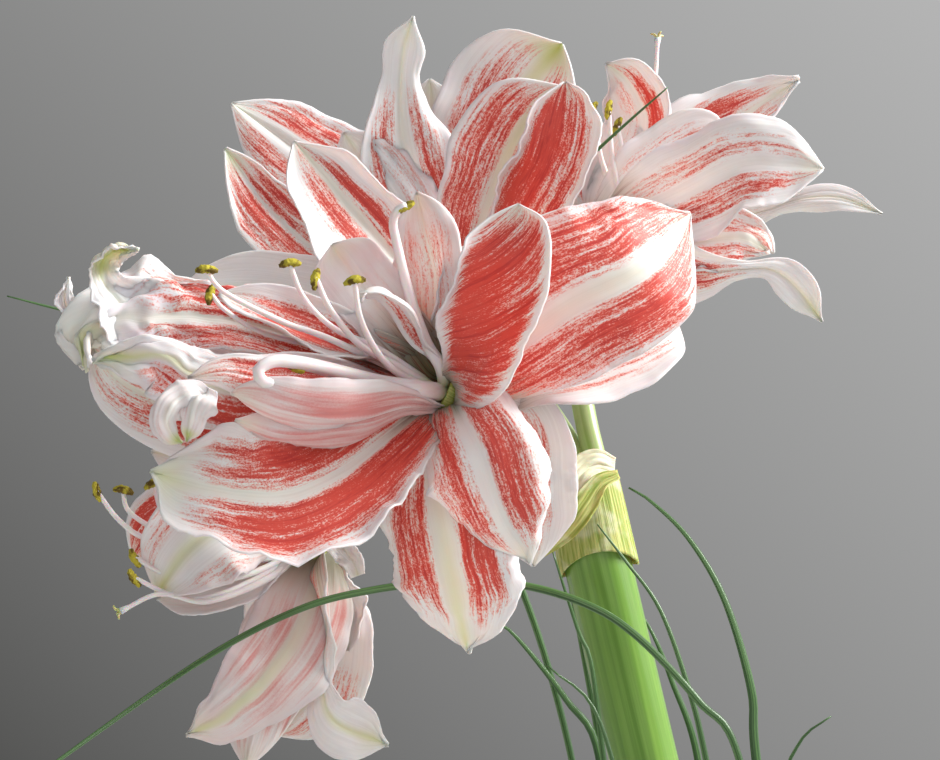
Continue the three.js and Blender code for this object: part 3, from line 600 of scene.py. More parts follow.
def addStamens(filaments, anthers, bloom, seed):
    throat = head + Vector(bloom["throat"])
    axis = Vector(bloom["opens"]).normalized()
    for i, stem in enumerate(bloom["stamens"]):
        points = [throat - axis * 2, *(head + Vector(p) for p in stem["path"])]
        path = Path(points)
        radius = bloomForm["filamentRadius"] * stem["thick"]
        flare = 0.5 if stem["style"] else 0

        def taper(t, angle):
            return radius * (1.25 - 0.55 * t + flare * smooth(0.96, 1, t))

        addStem(filaments, path, taper, 12, 48, seed + i)
        if stem["style"]:
            addStigma(filaments, points[-1], path.tangent(1), seed + i)
        if stem["anther"]:
            half = Vector(stem["anther"]).normalized() * bloomForm["antherLength"] / 2
            dip = path.tangent(1) * 0.9
            bar = Path([points[-1] - half - dip, points[-1], points[-1] + half - dip])
            addStem(anthers, bar, antherShape(seed + i), 20, 20, seed + i)


# a plump bar of two pollen sacs, with a groove between them and crumbling pollen
def antherShape(seed):
    def shape(t, angle):
        plump = math.sin(math.pi * clamp(t, 0.03, 0.97)) ** 0.4
        groove = 1 - 0.3 * hump(math.sin(angle), 1, 0.25) - 0.3 * hump(math.sin(angle), -1, 0.25)
        crumb = noise.noise(Vector((math.cos(angle) * 2, math.sin(angle) * 2, t * 9 + seed)))
        return bloomForm["antherRadius"] * plump * groove * (1 + 0.4 * crumb)

    return shape


frontBloom = dict(
    throat=(-10, -45, -4),
    opens=(-0.74, -0.57, 0.35),
    stalk=[(42, -4, -58), (38, -6, -36), (25, -19, -18), (8, -35, -10)],
    petals=dict(
        bigRight=petal(60, (30, -8, -14), [(3, -62, 2), (30, -80, 23), (57, -78, 37), (75, -56, 56)],
            bands=(1, 0.95), zone=(0.2, 0.98), reach=(0.16, 1.1), ribGreen=0.5, ruffle=2.4, sharp=2.6,
            # blush 0.3 is partly the petal's own pink and partly painted shade that dims this bright petal
            halves=(1, 0.86), fineness=(48, 72), crumple=1.2, blush=0.3),
        lowerRight=petal(36, (20, -5, -10), [(3, -52, -8), (17, -54, -16), (19, -50, -36), (22, -44, -64)],
            face=(0, -1, 0), bands=(0.85, 0.8), zone=(0.1, 0.5), reach=(0.3, 0.95), ribGreen=0.1, blush=0,
            violet=0.3),
        centreLow=petal(50, (30, -34, -44), [(-5, -62, -9), (2, -84, -23), (9, -86, -43), (20, -72, -61)],
            bands=(1.15, 0.95), zone=(0.18, 0.74), reach=(0.08, 0.9), keel=1.5,
            roll=((0, -30, -60), (0, -20, -40)), ruffle=2.2, ribGreen=0.15, halves=(0.95, 1.05), crumple=2),
        bottom=petal(54, (20, -8, -14), [(-11, -55, -16), (-11, -64, -40), (-6, -66, -67), (-1, -56, -92)],
            bands=(1.15, 1), zone=(0.22, 0.8), reach=(0.3, 0.86), ribGreen=0.8, ruffle=2.4, frill=1.2,
            sharp=3.4, roll=((0, -20, -50), (0, -20, -50)), crumple=2.5),
        lowerLeft=petal(52, (30, 10, 15), [(-18, -60, -12), (-42, -80, -30), (-62, -90, -38),
            (-85, -92, -36), (-104, -90, -30)], face=(-0.1, -1, 0.35), bands=(1.25, 1.15),
            zone=(0.14, 0.86), reach=(0.1, 0.86), tipGreen=0.6, frill=2.2, ruffle=2.6,
            roll=((0, 0, 50), (0, 0, 60)), sharp=3.6, crumple=1.8, violet=0.3),
        pinkBack=petal(27, (62, 52, 55), [(-20, -76, -8.3), (-42.2, -98, -12.3), (-59.5, -106, -10),
            (-72.3, -107, -5.8), (-77, -105, -4.5)], face=(0, 0.75, 0.65), claw=0.03, rise=2.6, widest=0.62,
            sharp=4, bands=(0.95, 0.5), zone=(0, 0.8), reach=(0.15, 1.1), blush=0.35, ribGreen=0,
            throat=(0, 0.06), ruffle=0.8, roll=((0, 0, 20), (0, 0, 40))),
        pinkUnder=petal(22, (50, 45, 40), [(-19.4, -70, -10.7), (-39.5, -86, -16.5), (-58.7, -94, -17.3),
            (-76.4, -97, -13)], face=(0, 0.75, 0.65), claw=0.03, rise=2.6, widest=0.6, zone=(0, 0.9),
            reach=(0.1, 0.95), blush=0.6, ribGreen=0, throat=(0, 0.06), violet=0.3),
        leftLong=petal(36, (30, 10, -10, -30), [(-23.8, -56, 2.7), (-47.4, -60, 10.2), (-74.3, -62, 18.6),
            (-99.4, -64, 22.2), (-117.7, -66, 20.2), (-126.8, -68, 14.8), (-126.9, -70, 6)],
            face=(0, -1, 0.3), outline=(0.3, 0.45, 0.6, 0.66, 0.62, 0.58, 0.75, 1.05, 1.1, 0.75, 0.02),
            bands=(0.9, 0.95), zone=(0.12, 0.98), reach=(0.22, 0.8), ribGreen=0.4, tipGreen=0.9, frill=2.2,
            ruffle=3, waves=3.2, violet=1.2, crumple=8, roll=((0, 0, 30), (0, 0, -50)), fineness=(44, 96),
            throat=(0.08, 0.42)),
        tipHook=petal(30, (30, 40, 60), [(-108.3, -60, 16.9), (-118.7, -63, 27), (-123.9, -65, 34.3),
            (-123.1, -66, 40.3), (-118.4, -68, 43.6), (-111.5, -70, 43.5)],
            face=((0.2, -1, 0.2), (0.5, -0.8, 0), (0.5, -0.5, -0.7)),
            outline=(0.7, 1, 1, 0.85, 0.6, 0.45, 0.4, 0.35, 0.3, 0.2, 0.02), free=True, bands=(0, 0),
            tipGreen=0.9, greenFrom=0.55, ribGreen=0.9, violet=0.8, frill=1.4, ruffle=1, crumple=2),
        paleTip=petal(9, (30, 40, 60), [(-122.6, -54, 15.3), (-132, -55, 18.4), (-137.3, -56, 25.8),
            (-136.5, -57, 35)], face=(0.3, -1, 0), outline=(0.6, 1, 1, 0.9, 0.6, 0.02), free=True,
            bands=(0, 0), violet=0.6, ribGreen=0.6, tipGreen=0.5, frill=1),
        leftRolled=petal(25, (50, 62, 60), [(-30.5, -58, 8.1), (-50.4, -66, 15.5), (-69.6, -70, 23.1),
            (-84, -70, 28.8)], face=(0, -0.75, 0.65), widest=0.62, sharp=3.2, bands=(1.1, 1), zone=(0, 0.6),
            reach=(0.42, 0.95), ribGreen=0.1, throat=(0.12, 0.6)),
        leftPale=petal(32, (30, 20, 10), [(-14, -35, 7), (-46, -25, 24), (-74, -18, 32), (-104, -15, 32)],
            face=(0, -1, 0.3), bands=(0, 0), blush=0.05, throat=(0.1, 0.5)),
        leftLow=petal(38, (30, 10, 20), [(-17, -50, -5), (-57, -60, -9), (-91, -64, -9), (-115, -66, -2),
            (-128, -66, 12)], face=(0, -1, 0), bands=(1.1, 1), zone=(0.12, 0.8), reach=(0.3, 0.95),
            frill=1.2, throat=(0.08, 0.4)),
        leftRuffled=petal(28, (20, -20, -40, -10), [(-56.9, -70, -1.7), (-77.7, -82, -2), (-90, -88, 2.6),
            (-99.9, -90, 8.5), (-112.3, -88, 8.5), (-123.7, -84, 6.9)], face=(0, -1, 0.3), waves=4,
            ruffle=3, bands=(1.15, 0.2), zone=(0.3, 0.95), reach=(0.3, 0.85), ribGreen=1, tipGreen=1,
            frill=1.8, violet=0.7, claw=0.4, halves=(1.15, 0.7), crumple=4),
        leftStriped=petal(19, (30, 10, -30), [(-46.7, -74, -1.7), (-65.7, -88, 0), (-79.9, -94, 2.6),
            (-91.8, -96, 0.7)], face=(0, -1, 0.1), bands=(1.1, 1.1), zone=(0, 0.8), reach=(0.3, 0.92),
            blush=0.4, ribGreen=0, ruffle=2.2, throat=(0.1, 0.4)),
        leftBud=petal(13, (30, 60, 70), [(-87.3, -98, -5.5), (-90.3, -104, -4.5), (-93.7, -106, -5.8),
            (-96.4, -107, -9), (-97.7, -107, -13.5), (-95.9, -106, -18), (-92.9, -104, -20.3)],
            face=((0, 0.8, -0.6), (-0.3, 0.9, -0.3), (-0.4, 0.9, 0)),
            outline=(0.6, 0.8, 1, 1.1, 1.1, 1, 0.8, 0.5, 0.02), free=True, bands=(0.3, 0.1),
            zone=(0.4, 0.8), tipGreen=1, greenFrom=0.84, frill=0.3, ruffle=0.5, jag=0),
        leftLobe=petal(13, (30, 50, 60), [(-85.7, -98, -4.5), (-87.1, -104, -5.8), (-89, -107, -9),
            (-90, -107, -14.1), (-91.2, -105, -19.7)],
            face=((0, 0.8, -0.6), (0.2, 0.9, -0.2), (0.3, 0.9, 0)),
            outline=(0.6, 0.8, 1, 1.1, 1, 0.8, 0.5, 0.02), free=True, bands=(0.5, 0.1), zone=(0.2, 0.9),
            reach=(0.2, 0.7), tipGreen=1, greenFrom=0.8, frill=0.3, ruffle=0.5, jag=0),
        centreUp=petal(38, (40, 20, 10), [(-4, -60, -4), (4, -82, 10), (12, -92, 36), (16, -84, 58)],
            face=(-0.5, -0.9, 0.1), bands=(1.35, 1.2), zone=(-0.2, 0.86), reach=(0.2, 0.97), ribGreen=0,
            sharp=4.2, widest=0.6, roll=((20, 80, 90), (0, -10, 20)), halves=(1.05, 0.95), slant=-2.4,
            ruffle=1.2, keel=0),
        centreCurl=petal(16, (30, 60, 80), [(-7, -56, 14), (-3, -62, 31), (0, -64, 46)],
            face=(-0.5, -0.8, 0.3), sharp=5, bands=(1.1, 1.1), zone=(0, 0.85), reach=(0.3, 1),
            throat=(0.1, 0.4)),
        pinkUp=petal(29, (40, 30, 10), [(-9, -52, 3), (-11, -58, 24), (-14, -58, 44), (-18, -52, 64)],
            face=(-0.6, -0.8, 0.2), sharp=3.4, bands=(0.3, 0.35), zone=(0, 0.8), blush=0.5, ribGreen=0.3,
            throat=(0.15, 0.6), roll=((0, 0, 50), (0, 0, -40))),
        spoon=petal(26, (40, 40, 10), [(-14, -52, 3), (-24, -56, 17), (-36, -58, 31), (-47, -55, 46)],
            face=(0, -1, 0), sharp=5, widest=0.75, claw=0.3, bands=(0.1, 0.1), blush=0.45, ribGreen=0.2,
            throat=(0.2, 0.7), violet=0.5),
        behindRight=petal(46, (20, 10, 5), [(4, -48, -2), (30, -52, 8), (55, -42, 16), (72, -26, 22)],
            face=(-0.3, -1, 0.4), bands=(0.5, 0.35), zone=(0.2, 0.8), reach=(0.3, 1)),
        crook=petal(9.5, (50, 60, 75), [(-11.5, -60, 9.5), (-16.8, -64, 14.2), (-23.4, -72, 25.1),
            (-29.2, -78, 29.5), (-34.4, -82, 29.1), (-35.9, -84, 25.7)],
            face=((-0.5, -0.6, -0.6), (-0.4, -0.6, -0.7)), claw=0.6, sharp=5, bands=(0.9, 0.1),
            zone=(0, 0.7), reach=(0.2, 0.8), blush=0.15, ribGreen=0, frill=0.2, ruffle=0.3,
            fineness=(20, 64)),
    ),
    stamens=[
        stamen([(-42.4, -72, 11.7), (-52.4, -78, 15.9), (-62.2, -86, 19.4), (-80.4, -92, 28.8),
            (-86.3, -95, 36.2)], anther=(1, 0, 0)),
        stamen([(-30, -66, 10), (-45, -72, 17), (-55, -76, 27), (-60, -78, 39)], anther=(1, 0, 0.1)),
        stamen([(-25, -66, 5), (-37, -74, 12), (-46, -80, 23), (-51, -83, 34)], anther=(0.2, 0, 1),
            thick=1.15),
        stamen([(-22, -66, 1), (-30, -76, 8), (-36, -84, 20), (-38, -87, 33)], anther=(1, 0, 0.2),
            thick=1.1),
        stamen([(-36, -60, 8), (-67, -70, 15), (-81, -78, 23), (-86, -80, 29)], anther=(0.3, 0, 1),
            thick=0.9),
        stamen([(-9.8, -60, 4.1), (-15.2, -62, 13.5), (-20.8, -66, 30.3), (-24.8, -70, 46.9),
            (-25.7, -72, 52.8), (-24, -74, 56.7), (-21, -74, 58)], anther=(1, 0, 0.5), thick=1.7),
        stamen([(-23.4, -72, -1.3), (-42.6, -90, 0.7), (-51.8, -100, 3.2), (-57.5, -103, 4.5)],
            anther=(1, 0, -0.5), thick=0.7),
        stamen([(-16.7, -72, -3), (-29.7, -82, -1), (-44, -95, 2.9), (-54.9, -103, 5.5), (-62.7, -107, 6.1),
            (-67.7, -109, 3.5), (-66.7, -109, -0.3), (-62.4, -107, -1.3)], thick=2.4),
    ],
)

topBloom = dict(
    throat=(-7, 15, 30),
    opens=(-0.45, -0.35, 0.82),
    stalk=[(43, 4, -58), (41, 6, -34), (27, 20, -9), (6, 22, 14)],
    petals=dict(
        tallWhite=petal(36, (30, 15, 15), [(-8.4, 18, 43.2), (-16.4, 14, 62.1), (-23.3, 12, 83.8),
            (-25.1, 11, 101.9), (-24.3, 9, 118.1), (-20.6, 6, 131.8)],
            outline=(0.2, 0.5, 0.85, 1, 1.02, 0.97, 0.85, 0.6, 0.38, 0.4, 0.02), face=(0, -1, 0),
            bands=(0.95, 0.85), zone=(0.25, 0.8), reach=(0.1, 0.72), tipGreen=0.3, ribGreen=0.45,
            ruffle=1.2, roll=((0, 0, 20), (0, 0, -50)), blush=0),
        whiteBehind=petal(34, (20, 10, 10), [(-10, 26, 45), (-13, 32, 75), (-15, 34, 112)], face=(0, -1, 0),
            bands=(0.2, 0.2), reach=(0.3, 0.8), sharp=4),
        paleLeft=petal(34, (20, 10, 10), [(-16, 12, 44), (-32, 12, 70), (-46, 10, 90)], face=(0, -1, 0),
            bands=(0.3, 0.25), zone=(0.3, 0.9), reach=(0.4, 0.95), blush=0.3, sharp=3.6,
            roll=((0, 0, 60), (0, 0, -40))),
        topLeft=petal(42, (30, 10, -20), [(-18, 14, 42), (-45, 20, 72), (-68, 24, 88), (-88, 24, 102)],
            face=(0.3, -1, 0.2), bands=(0.8, 0.62), zone=(0.3, 0.95), reach=(0.35, 1), ribGreen=0.25,
            frill=1.4, ruffle=2.6, sharp=2.6, keel=2),
        leftSpeckled=petal(31, (30, 20, 10), [(-22, 6, 32), (-51, 6, 44), (-73, 8, 62), (-89, 8, 84)],
            face=(0.3, -1, 0.2), bands=(0.95, 0.75), zone=(0.1, 0.9), reach=(0.4, 0.95), tipGreen=0.7,
            ribGreen=0.1, roll=((0, 0, 20), (0, 70, 90)), ruffle=2),
        leftInner=petal(50, (20, 25, 20), [(-14, -10, 32), (-28, -22, 45), (-46, -26, 66), (-62, -22, 84)],
            face=(0.3, -1, 0.3), claw=0.3, widest=0.5, sharp=2.6, halves=(1.15, 0.75), bands=(0.95, 1.05),
            zone=(0.14, 0.5), reach=(0.2, 0.97), ribGreen=0.4, roll=((0, 20, 30), (0, 50, 90)), keel=1.4),
        topRight=petal(60, (30, 10, 10), [(0, 22, 46), (8, 24, 74), (20, 26, 106), (34, 24, 124)],
            face=(-0.2, -1, 0.1), widest=0.62, sharp=3.4, bands=(0.85, 0.95), zone=(0.2, 0.75),
            reach=(0.25, 0.92), ribGreen=0.9, tipGreen=1, ruffle=2.4, roll=((0, 0, 20), (0, 0, 30))),
        innerRight=petal(42, (30, 20, 10), [(0, 8, 42), (7, 4, 65), (18, 2, 90), (32, 0, 106)],
            face=(0, -1, 0), widest=0.6, sharp=3.2, bands=(0.98, 1.3), zone=(0.14, 0.9), reach=(0.12, 0.95),
            ribGreen=0.9, roll=((0, 0, -30), (0, 20, 40))),
        curlRight=petal(35, (30, 30, 20), [(8, 4, 42.6), (21.5, -6, 62.6), (30.7, -9, 82.1),
            (33.9, -8, 97.1), (34.4, -6, 106.6)], face=(-0.3, -1, 0), claw=0.3, sharp=5, bands=(1.35, 1.05),
            zone=(-0.2, 0.72), reach=(0.25, 1.05), ribGreen=0, keel=0, roll=((30, 95, 95), (0, 10, 30)),
            rollFrom=0.45, frill=0.9),
        rearRight=petal(42, (20, 20, 10), [(0, 32, 46), (8, 46, 66), (12, 56, 86), (10, 60, 102)],
            reach=(0.4, 1)),
        rearLeft=petal(40, (20, 20, 10), [(-14, 32, 44), (-26, 48, 60), (-42, 60, 76), (-54, 62, 94)],
            reach=(0.3, 1)),
    ),
    stamens=[
        stamen([(-20, 4, 42), (-34, 2, 56), (-46, -4, 70), (-51, -6, 82)], anther=(1, 0, -0.4)),
        stamen([(-20, 2, 38), (-36, -4, 44), (-48, -10, 52), (-57, -14, 62)], anther=(0.4, 0, 1)),
    ],
)

rightBloom = dict(
    throat=(47, 50, 50),
    opens=(0.2, 0.3, 0.93),
    stalk=[(47, 1, -58), (46.5, 4, -36), (42, 9, -14), (40, 20, 6), (44, 38, 26)],
    petals=dict(
        upright=petal(38, (30, 20, 15), [(53, 56, 64), (62, 66, 84), (67, 68, 100), (61, 65, 114),
            (52, 61, 121)], face=(-0.6, -0.7, 0.3), sharp=3.2, bands=(0.3, 1.2), zone=(0.12, 0.55),
            reach=(0.25, 0.95), ribGreen=0.2, roll=((0, 0, 60), (0, 0, 40))),
        farRight=petal(38, (30, 30, 25), [(62.5, 72, 73.3), (86.2, 88, 90.9), (106.1, 92, 103),
            (119.7, 90, 111.8), (128.9, 88, 117.5)],
            outline=(0.2, 0.5, 0.75, 0.9, 0.98, 1, 1, 0.95, 0.8, 0.5, 0.05), face=(0, -1, 0.2),
            bands=(1, 0.9), zone=(0.1, 0.7), reach=(0.3, 0.9), frill=1.2, ruffle=2.4,
            roll=((0, -30, -60), (0, 50, 80)), ribGreen=0.3, crumple=1.5),
        upperNear=petal(34, (20, 10, -10), [(54, 45, 62), (72, 40, 78), (88, 38, 88), (97, 40, 88)],
            face=(0, -1, 0.3), sharp=5, widest=0.62, bands=(0.3, 0.35), zone=(0.2, 0.8), reach=(0.3, 0.95),
            ruffle=2.2, ribGreen=0),
        broad=petal(42, (20, 10, 10), [(56, 36, 58), (80, 24, 70), (104, 16, 79), (129, 15, 77)],
            face=(0, -1, 0.3), claw=0.3, sharp=3.6, bands=(0.4, 0.75), zone=(0.2, 0.72), reach=(0.2, 0.98),
            ribGreen=0.1, ruffle=2.2, roll=((0, 0, -40), (0, 0, 40)), crumple=1.2),
        twistHigh=petal(32, (20, 10, -20, 20), [(64.3, 50, 58.6), (86.9, 50, 58.6), (109.6, 50, 63.5),
            (125.3, 48, 68.3), (140.2, 47, 68.6), (155, 45, 62.4)], face=(0, -1, 0.3),
            outline=(0.2, 0.6, 0.9, 1, 0.9, 0.6, 0.22, 0.26, 0.36, 0.26, 0.02), bands=(0.3, 0.4),
            reach=(0.2, 0.6), ruffle=1.4, ribGreen=0.5, tipGreen=0.4),
        twistLow=petal(30, (20, 10, -10, 25), [(57.4, 28, 43.7), (80.5, 16, 38.8), (97.8, 14, 40.2),
            (110.2, 14, 40.2), (119.4, 14, 33.6), (128.5, 14, 21.2)], face=(0, -1, 0),
            outline=(0.3, 0.7, 0.95, 1, 0.9, 0.6, 0.28, 0.22, 0.46, 0.42, 0.02), bands=(1.1, 0.9),
            zone=(0.02, 0.62), reach=(0.1, 0.62), tipGreen=0.6, ribGreen=0.5, ruffle=1.2),
        ruffle=petal(28, (20, 10, 10), [(58, 30, 52), (80, 22, 52), (100, 20, 52), (110, 20, 47)],
            face=(0, -1, 0.3), bands=(0.35, 0.6), zone=(0.2, 1), reach=(0.5, 1.1), frill=1.8, ruffle=2.6,
            crumple=2, sharp=4),
        rearUp=petal(40, (20, 20, 10), [(42, 62, 66), (36, 80, 84), (32, 92, 102), (34, 98, 116)],
            reach=(0.3, 1)),
        rearRight=petal(40, (20, 20, 10), [(64, 74, 60), (86, 94, 66), (104, 104, 74), (118, 108, 80)],
            reach=(0.3, 1)),
        rearLow=petal(36, (20, 20, 10), [(52, 62, 50), (64, 82, 46), (78, 98, 48), (88, 106, 56)],
            reach=(0.3, 1)),
    ),
    stamens=[
        stamen([(49, 50, 58), (53, 48, 70), (49, 46, 85), (46, 44, 102)], anther=(0.5, 0, 1)),
        stamen([(50, 48, 58), (55, 44, 70), (53, 42, 86), (52, 40, 102)], anther=(0.2, 0, 1)),
        stamen([(52, 52, 58), (57, 52, 70), (58, 54, 84), (56, 54, 97)], anther=(0.4, 0, 1)),
        stamen([(53, 54, 58), (64, 68, 90), (71, 76, 112), (73, 80, 133)], style=True),
    ],
)

lowBloom = dict(
    throat=(-59, 20, -58),
    opens=(-0.72, -0.15, -0.65),
    stalk=[(41, 0, -58), (37, 1, -36), (8, 26, -26), (-34, 26, -42)],
    petals=dict(
        greenRib=petal(40, (30, 20, 10), [(-70, 5, -52), (-88, -8, -52), (-102, -12, -62), (-112, -8, -77)],
            face=(-0.3, -1, 0), bands=(0.3, 0.45), zone=(0.5, 1), reach=(0.3, 0.9), ribGreen=1,
            tipGreen=0.8, blush=0.25, frill=1.2, ruffle=2),
        redInside=petal(32, (30, 30, 30), [(-72, 25, -55), (-95, 35, -50), (-115, 38, -54),
            (-126, 34, -66)], face=(0.5, -0.8, 0.2), bands=(1.3, 1.3), zone=(0, 0.85), reach=(0.2, 1),
            ribGreen=0, sharp=4, ruffle=1),
        lowerPale=petal(28, (30, 30, 20), [(-72, 12, -65), (-92, 10, -76), (-114, 12, -80)],
            bands=(0.95, 0.8), zone=(0.05, 0.6), reach=(0.1, 0.6), ribGreen=0),
        hangPink=petal(38, (30, 20, 30), [(-55.2, 8, -70.8), (-61, -4, -89.6), (-72, -10, -105.5),
            (-86.2, -10, -119), (-101.1, -8, -126.8)], face=(0, 1, 0),
            outline=(0.3, 0.5, 0.75, 0.95, 1, 0.98, 0.9, 0.8, 0.65, 0.45, 0.02), bands=(0.7, 0.85),
            zone=(0.15, 0.85), reach=(0.2, 0.85), blush=0.3, ribGreen=1, tipGreen=0.4, frill=1.2, ruffle=2,
            crumple=1.5),
        hangWhite=petal(31, (20, 20, -20, 30), [(-54.9, 4, -68), (-52.1, -2, -86.2), (-52.7, -4, -100.4),
            (-53, -5, -111.8), (-48, -6, -122.4), (-29.3, -6, -130.6)],
            face=((-1, -0.5, 0), (-0.8, -0.6, 0), (0, -1, 0.3)),
            outline=(0.3, 0.5, 0.62, 0.62, 0.55, 0.4, 0.24, 0.5, 0.72, 0.62, 0.02), bands=(0.2, 1.1),
            zone=(0.2, 0.95), reach=(0.12, 0.6), ribGreen=0.9, tipGreen=0.5, ruffle=1.4, crumple=1),
        redSliver=petal(30, (20, 20, 10), [(-64, 20, -75), (-72, 22, -100), (-78, 20, -122),
            (-82, 16, -142)], face=(0, 1, 0), bands=(1.25, 1.25), zone=(0, 0.95), reach=(0.2, 0.9),
            ribGreen=0),
        hangBroad=petal(44, (20, 20, 10), [(-56, 25, -75), (-56, 30, -98), (-62, 28, -118),
            (-72, 24, -131)], face=(0, -1, 0), bands=(0.5, 0.25), zone=(0.2, 0.9), reach=(0.6, 1),
            ribGreen=0.5, violet=0.3),
        paleShort=petal(14, (20, 20, 10), [(-50, 22, -66), (-44, 26, -84), (-45, 26, -100)],
            bands=(0.1, 0.1)),
        foldedWhite=petal(9, (10, 20, 20), [(-54.3, -8, -54.3), (-46.9, -14, -58.6), (-41.8, -16, -63.8),
            (-39.7, -16, -69.4)], face=(0, -1, 0.2), outline=(0.8, 1, 1, 0.9, 0.6), bands=(0, 0), free=True,
            ruffle=0.3),
        rearHigh=petal(30, (20, 20, 10), [(-70, 28, -48), (-88, 38, -38), (-106, 44, -30), (-120, 46, -27)],
            face=(0, -1, 0), bands=(0.5, 0.5), blush=0.4),
        rearLow=petal(38, (20, 20, 10), [(-64, 36, -66), (-70, 52, -84), (-74, 58, -104), (-70, 56, -122)],
            reach=(0.3, 1)),
        rearLeft=petal(36, (20, 20, 10), [(-72, 34, -52), (-92, 50, -50), (-108, 56, -58), (-116, 54, -70)],
            reach=(0.3, 1)),
    ),
    stamens=[
        stamen([(-73, 8, -65), (-97, 0, -59), (-115, -6, -57), (-125, -10, -50), (-133, -12, -39)],
            anther=(-0.3, 0, 1)),
        stamen([(-73, 10, -64), (-94, 2, -58), (-111, -4, -54), (-122, -6, -47), (-124, -8, -39)],
            anther=(1, 0, -0.2)),
        stamen([(-76, 12, -62), (-98, 6, -54), (-110, 2, -49), (-114, 0, -37)], anther=(1, 0, 0.4)),
        stamen([(-72, 6, -67), (-90, -4, -72), (-107, -8, -70), (-120, -10, -63)], anther=(-0.5, 0, 1)),
        stamen([(-72, 6, -69), (-91, -6, -77), (-105, -10, -77), (-120, -12, -70)], anther=(-0.6, 0, 1)),
        stamen([(-70, 4, -70), (-93, -8, -79), (-110, -12, -76), (-124, -14, -82)], style=True),
    ],
)


# Where the grass tufts stand
tufts = dict(
    grass_right=(50, -20),
    grass_front=(-28, -50),
    grass_rear=(-30, 44),
)


# Pot, soil and bulb

potForm = dict(height=130, topRadius=82, footRadius=54, wall=6, floor=8, innerTop=127)
soilForm = dict(top=118, gap=0.35, crumb=1.6)
bulbForm = dict(low=64, neckTop=166, socketRadius=13.35, socketDepth=9.35)


def potInside(z):
    share = (z - potForm["floor"]) / (potForm["innerTop"] - potForm["floor"])
    return mix(potForm["footRadius"], potForm["topRadius"], share) - potForm["wall"]


def potFinish():
    f = Finish("glazedClay")
    cloud = f.noise(f.place((1, 1, 2)), scale=14, detail=4.0, roughness=0.6)
    fleck = f.noise(f.place(), scale=420, detail=2.0, roughness=0.7)
    ring = f.noise(f.place((0.1, 0.1, 1)), scale=160, detail=2.0)
    height = f.node("SeparateXYZ", None, {0: f.place()}, 2)
    shade = f.blend(colour(196, 188, 172), colour(216, 209, 195), cloud.smooth(0.3, 0.7))
    shade = f.blend(shade, colour(142, 118, 92), fleck.smooth(0.62, 0.72) * 0.7)
    shade = f.blend(shade, colour(170, 138, 108), (1 - height.smooth(0.002, 0.007)) * 0.85)
    return f.done({
        "Base Color": shade,
        "Roughness": 0.3 + (cloud - 0.5) * 0.3,
        "Normal": f.bump(ring * 0.8 + cloud * 0.5, 0.25, 0.0012),
        "Coat Weight": 0.35,
        "Coat Roughness": 0.12,
    })


def arc(middleRadius, middleHeight, size, start, end, count):
    angles = [math.radians(mix(start, end, i / (count - 1))) for i in range(count)]
    return [(middleRadius + size * math.cos(a), middleHeight + size * math.sin(a)) for a in angles]


bm = bmesh.new()
top, foot, height = potForm["topRadius"], potForm["footRadius"], potForm["height"]
inner = potInside(potForm["innerTop"])
profile = [(0, 0), (foot - 6, 0), (foot - 5, 0.8), (foot - 3.2, 0.8), (foot - 2.2, 0),
           *arc(foot - 1.6, 1.6, 1.6, -90, 0, 6),
           *[(mix(foot + 0.6, top - 3, s / 12), mix(4, height - 13, s / 12)) for s in range(13)],
           *arc(top - 2.2, height - 11.4, 2.2, -60, 0, 5),
           *arc(top - 2, height - 2, 2, 0, 90, 7),
           *arc(inner + 1.8, height - 2.4, 2.0, 100, 180, 7),
           *[(potInside(z), z) for z in (potForm["innerTop"] - 3, 90, 50, potForm["floor"] + 2)],
           (potInside(potForm["floor"]) - 2, potForm["floor"]), (0, potForm["floor"])]
addTurned(bm, profile, 144)
piece("taperedPot", bm, [potFinish()], "pot")
print("pot")


def soilFinish():
    f = Finish("pottingSoil")
    crumb = f.noise(f.place(), scale=260, detail=4.0, roughness=0.75)
    lump = f.noise(f.place(), scale=70, detail=3.0, roughness=0.6)
    shade = f.blend(colour(38, 28, 20), colour(92, 70, 50), crumb.smooth(0.4, 0.72))
    shade = f.blend(shade, colour(60, 42, 30), lump.smooth(0.4, 0.7))
    return f.done({"Base Color": shade, "Roughness": 0.95, "Normal": f.bump(crumb, 1.0, 0.002)})


def gritFinish():
    f = Finish("perliteAndBark")
    grain = f.noise(f.place(), scale=900, detail=2.0)
    kind = f.attribute("seed")
    bark = f.blend(colour(84, 54, 34), colour(122, 84, 54), grain.smooth(0.3, 0.7))
    shade = f.blend(bark, f.blend(colour(206, 202, 192), colour(236, 233, 226), grain.smooth(0.3, 0.7)), kind)
    return f.done({"Base Color": shade, "Roughness": 0.9, "Normal": f.bump(grain, 0.6, 0.0008)})


bulbSide = [(16, 64), (30, 69), (40, 84), (44, 102)]
bm = bmesh.new()
gap, soilTop = soilForm["gap"], soilForm["top"]
edge = soilTop - 3
ground = [(potInside(edge) - gap, edge), (76, edge + 0.3)]
ground += [(mix(74, 44.6, s / 40), mix(soilTop - 1.6, soilTop + 1, s / 40)) for s in range(41)]
hidden = [(0, potForm["floor"] + gap), (potInside(potForm["floor"]) - gap - 1, potForm["floor"] + gap)]
widest, height = bulbSide[-1]
bed = [*hidden, *ground, (widest + 2 * gap, height), *[(r + gap, z - gap) for r, z in bulbSide[-2::-1]],
       (0, bulbForm["low"] - gap)]
addTurned(bm, bed, 240)
for vert in bm.verts:
    radius = math.hypot(vert.co.x, vert.co.y)
    if vert.co.z > edge - 0.5 and 45 < radius < 75.5:
        spot = vert.co * 0.09
        rough = noise.noise(spot * 3) * 0.6 + noise.noise(spot * 8) * 0.5 + noise.noise(spot) * 0.6
        rough = (rough - 0.35) * smooth(45, 48, radius) * (1 - smooth(73, 75.5, radius))
        vert.co.z += soilForm["crumb"] * rough
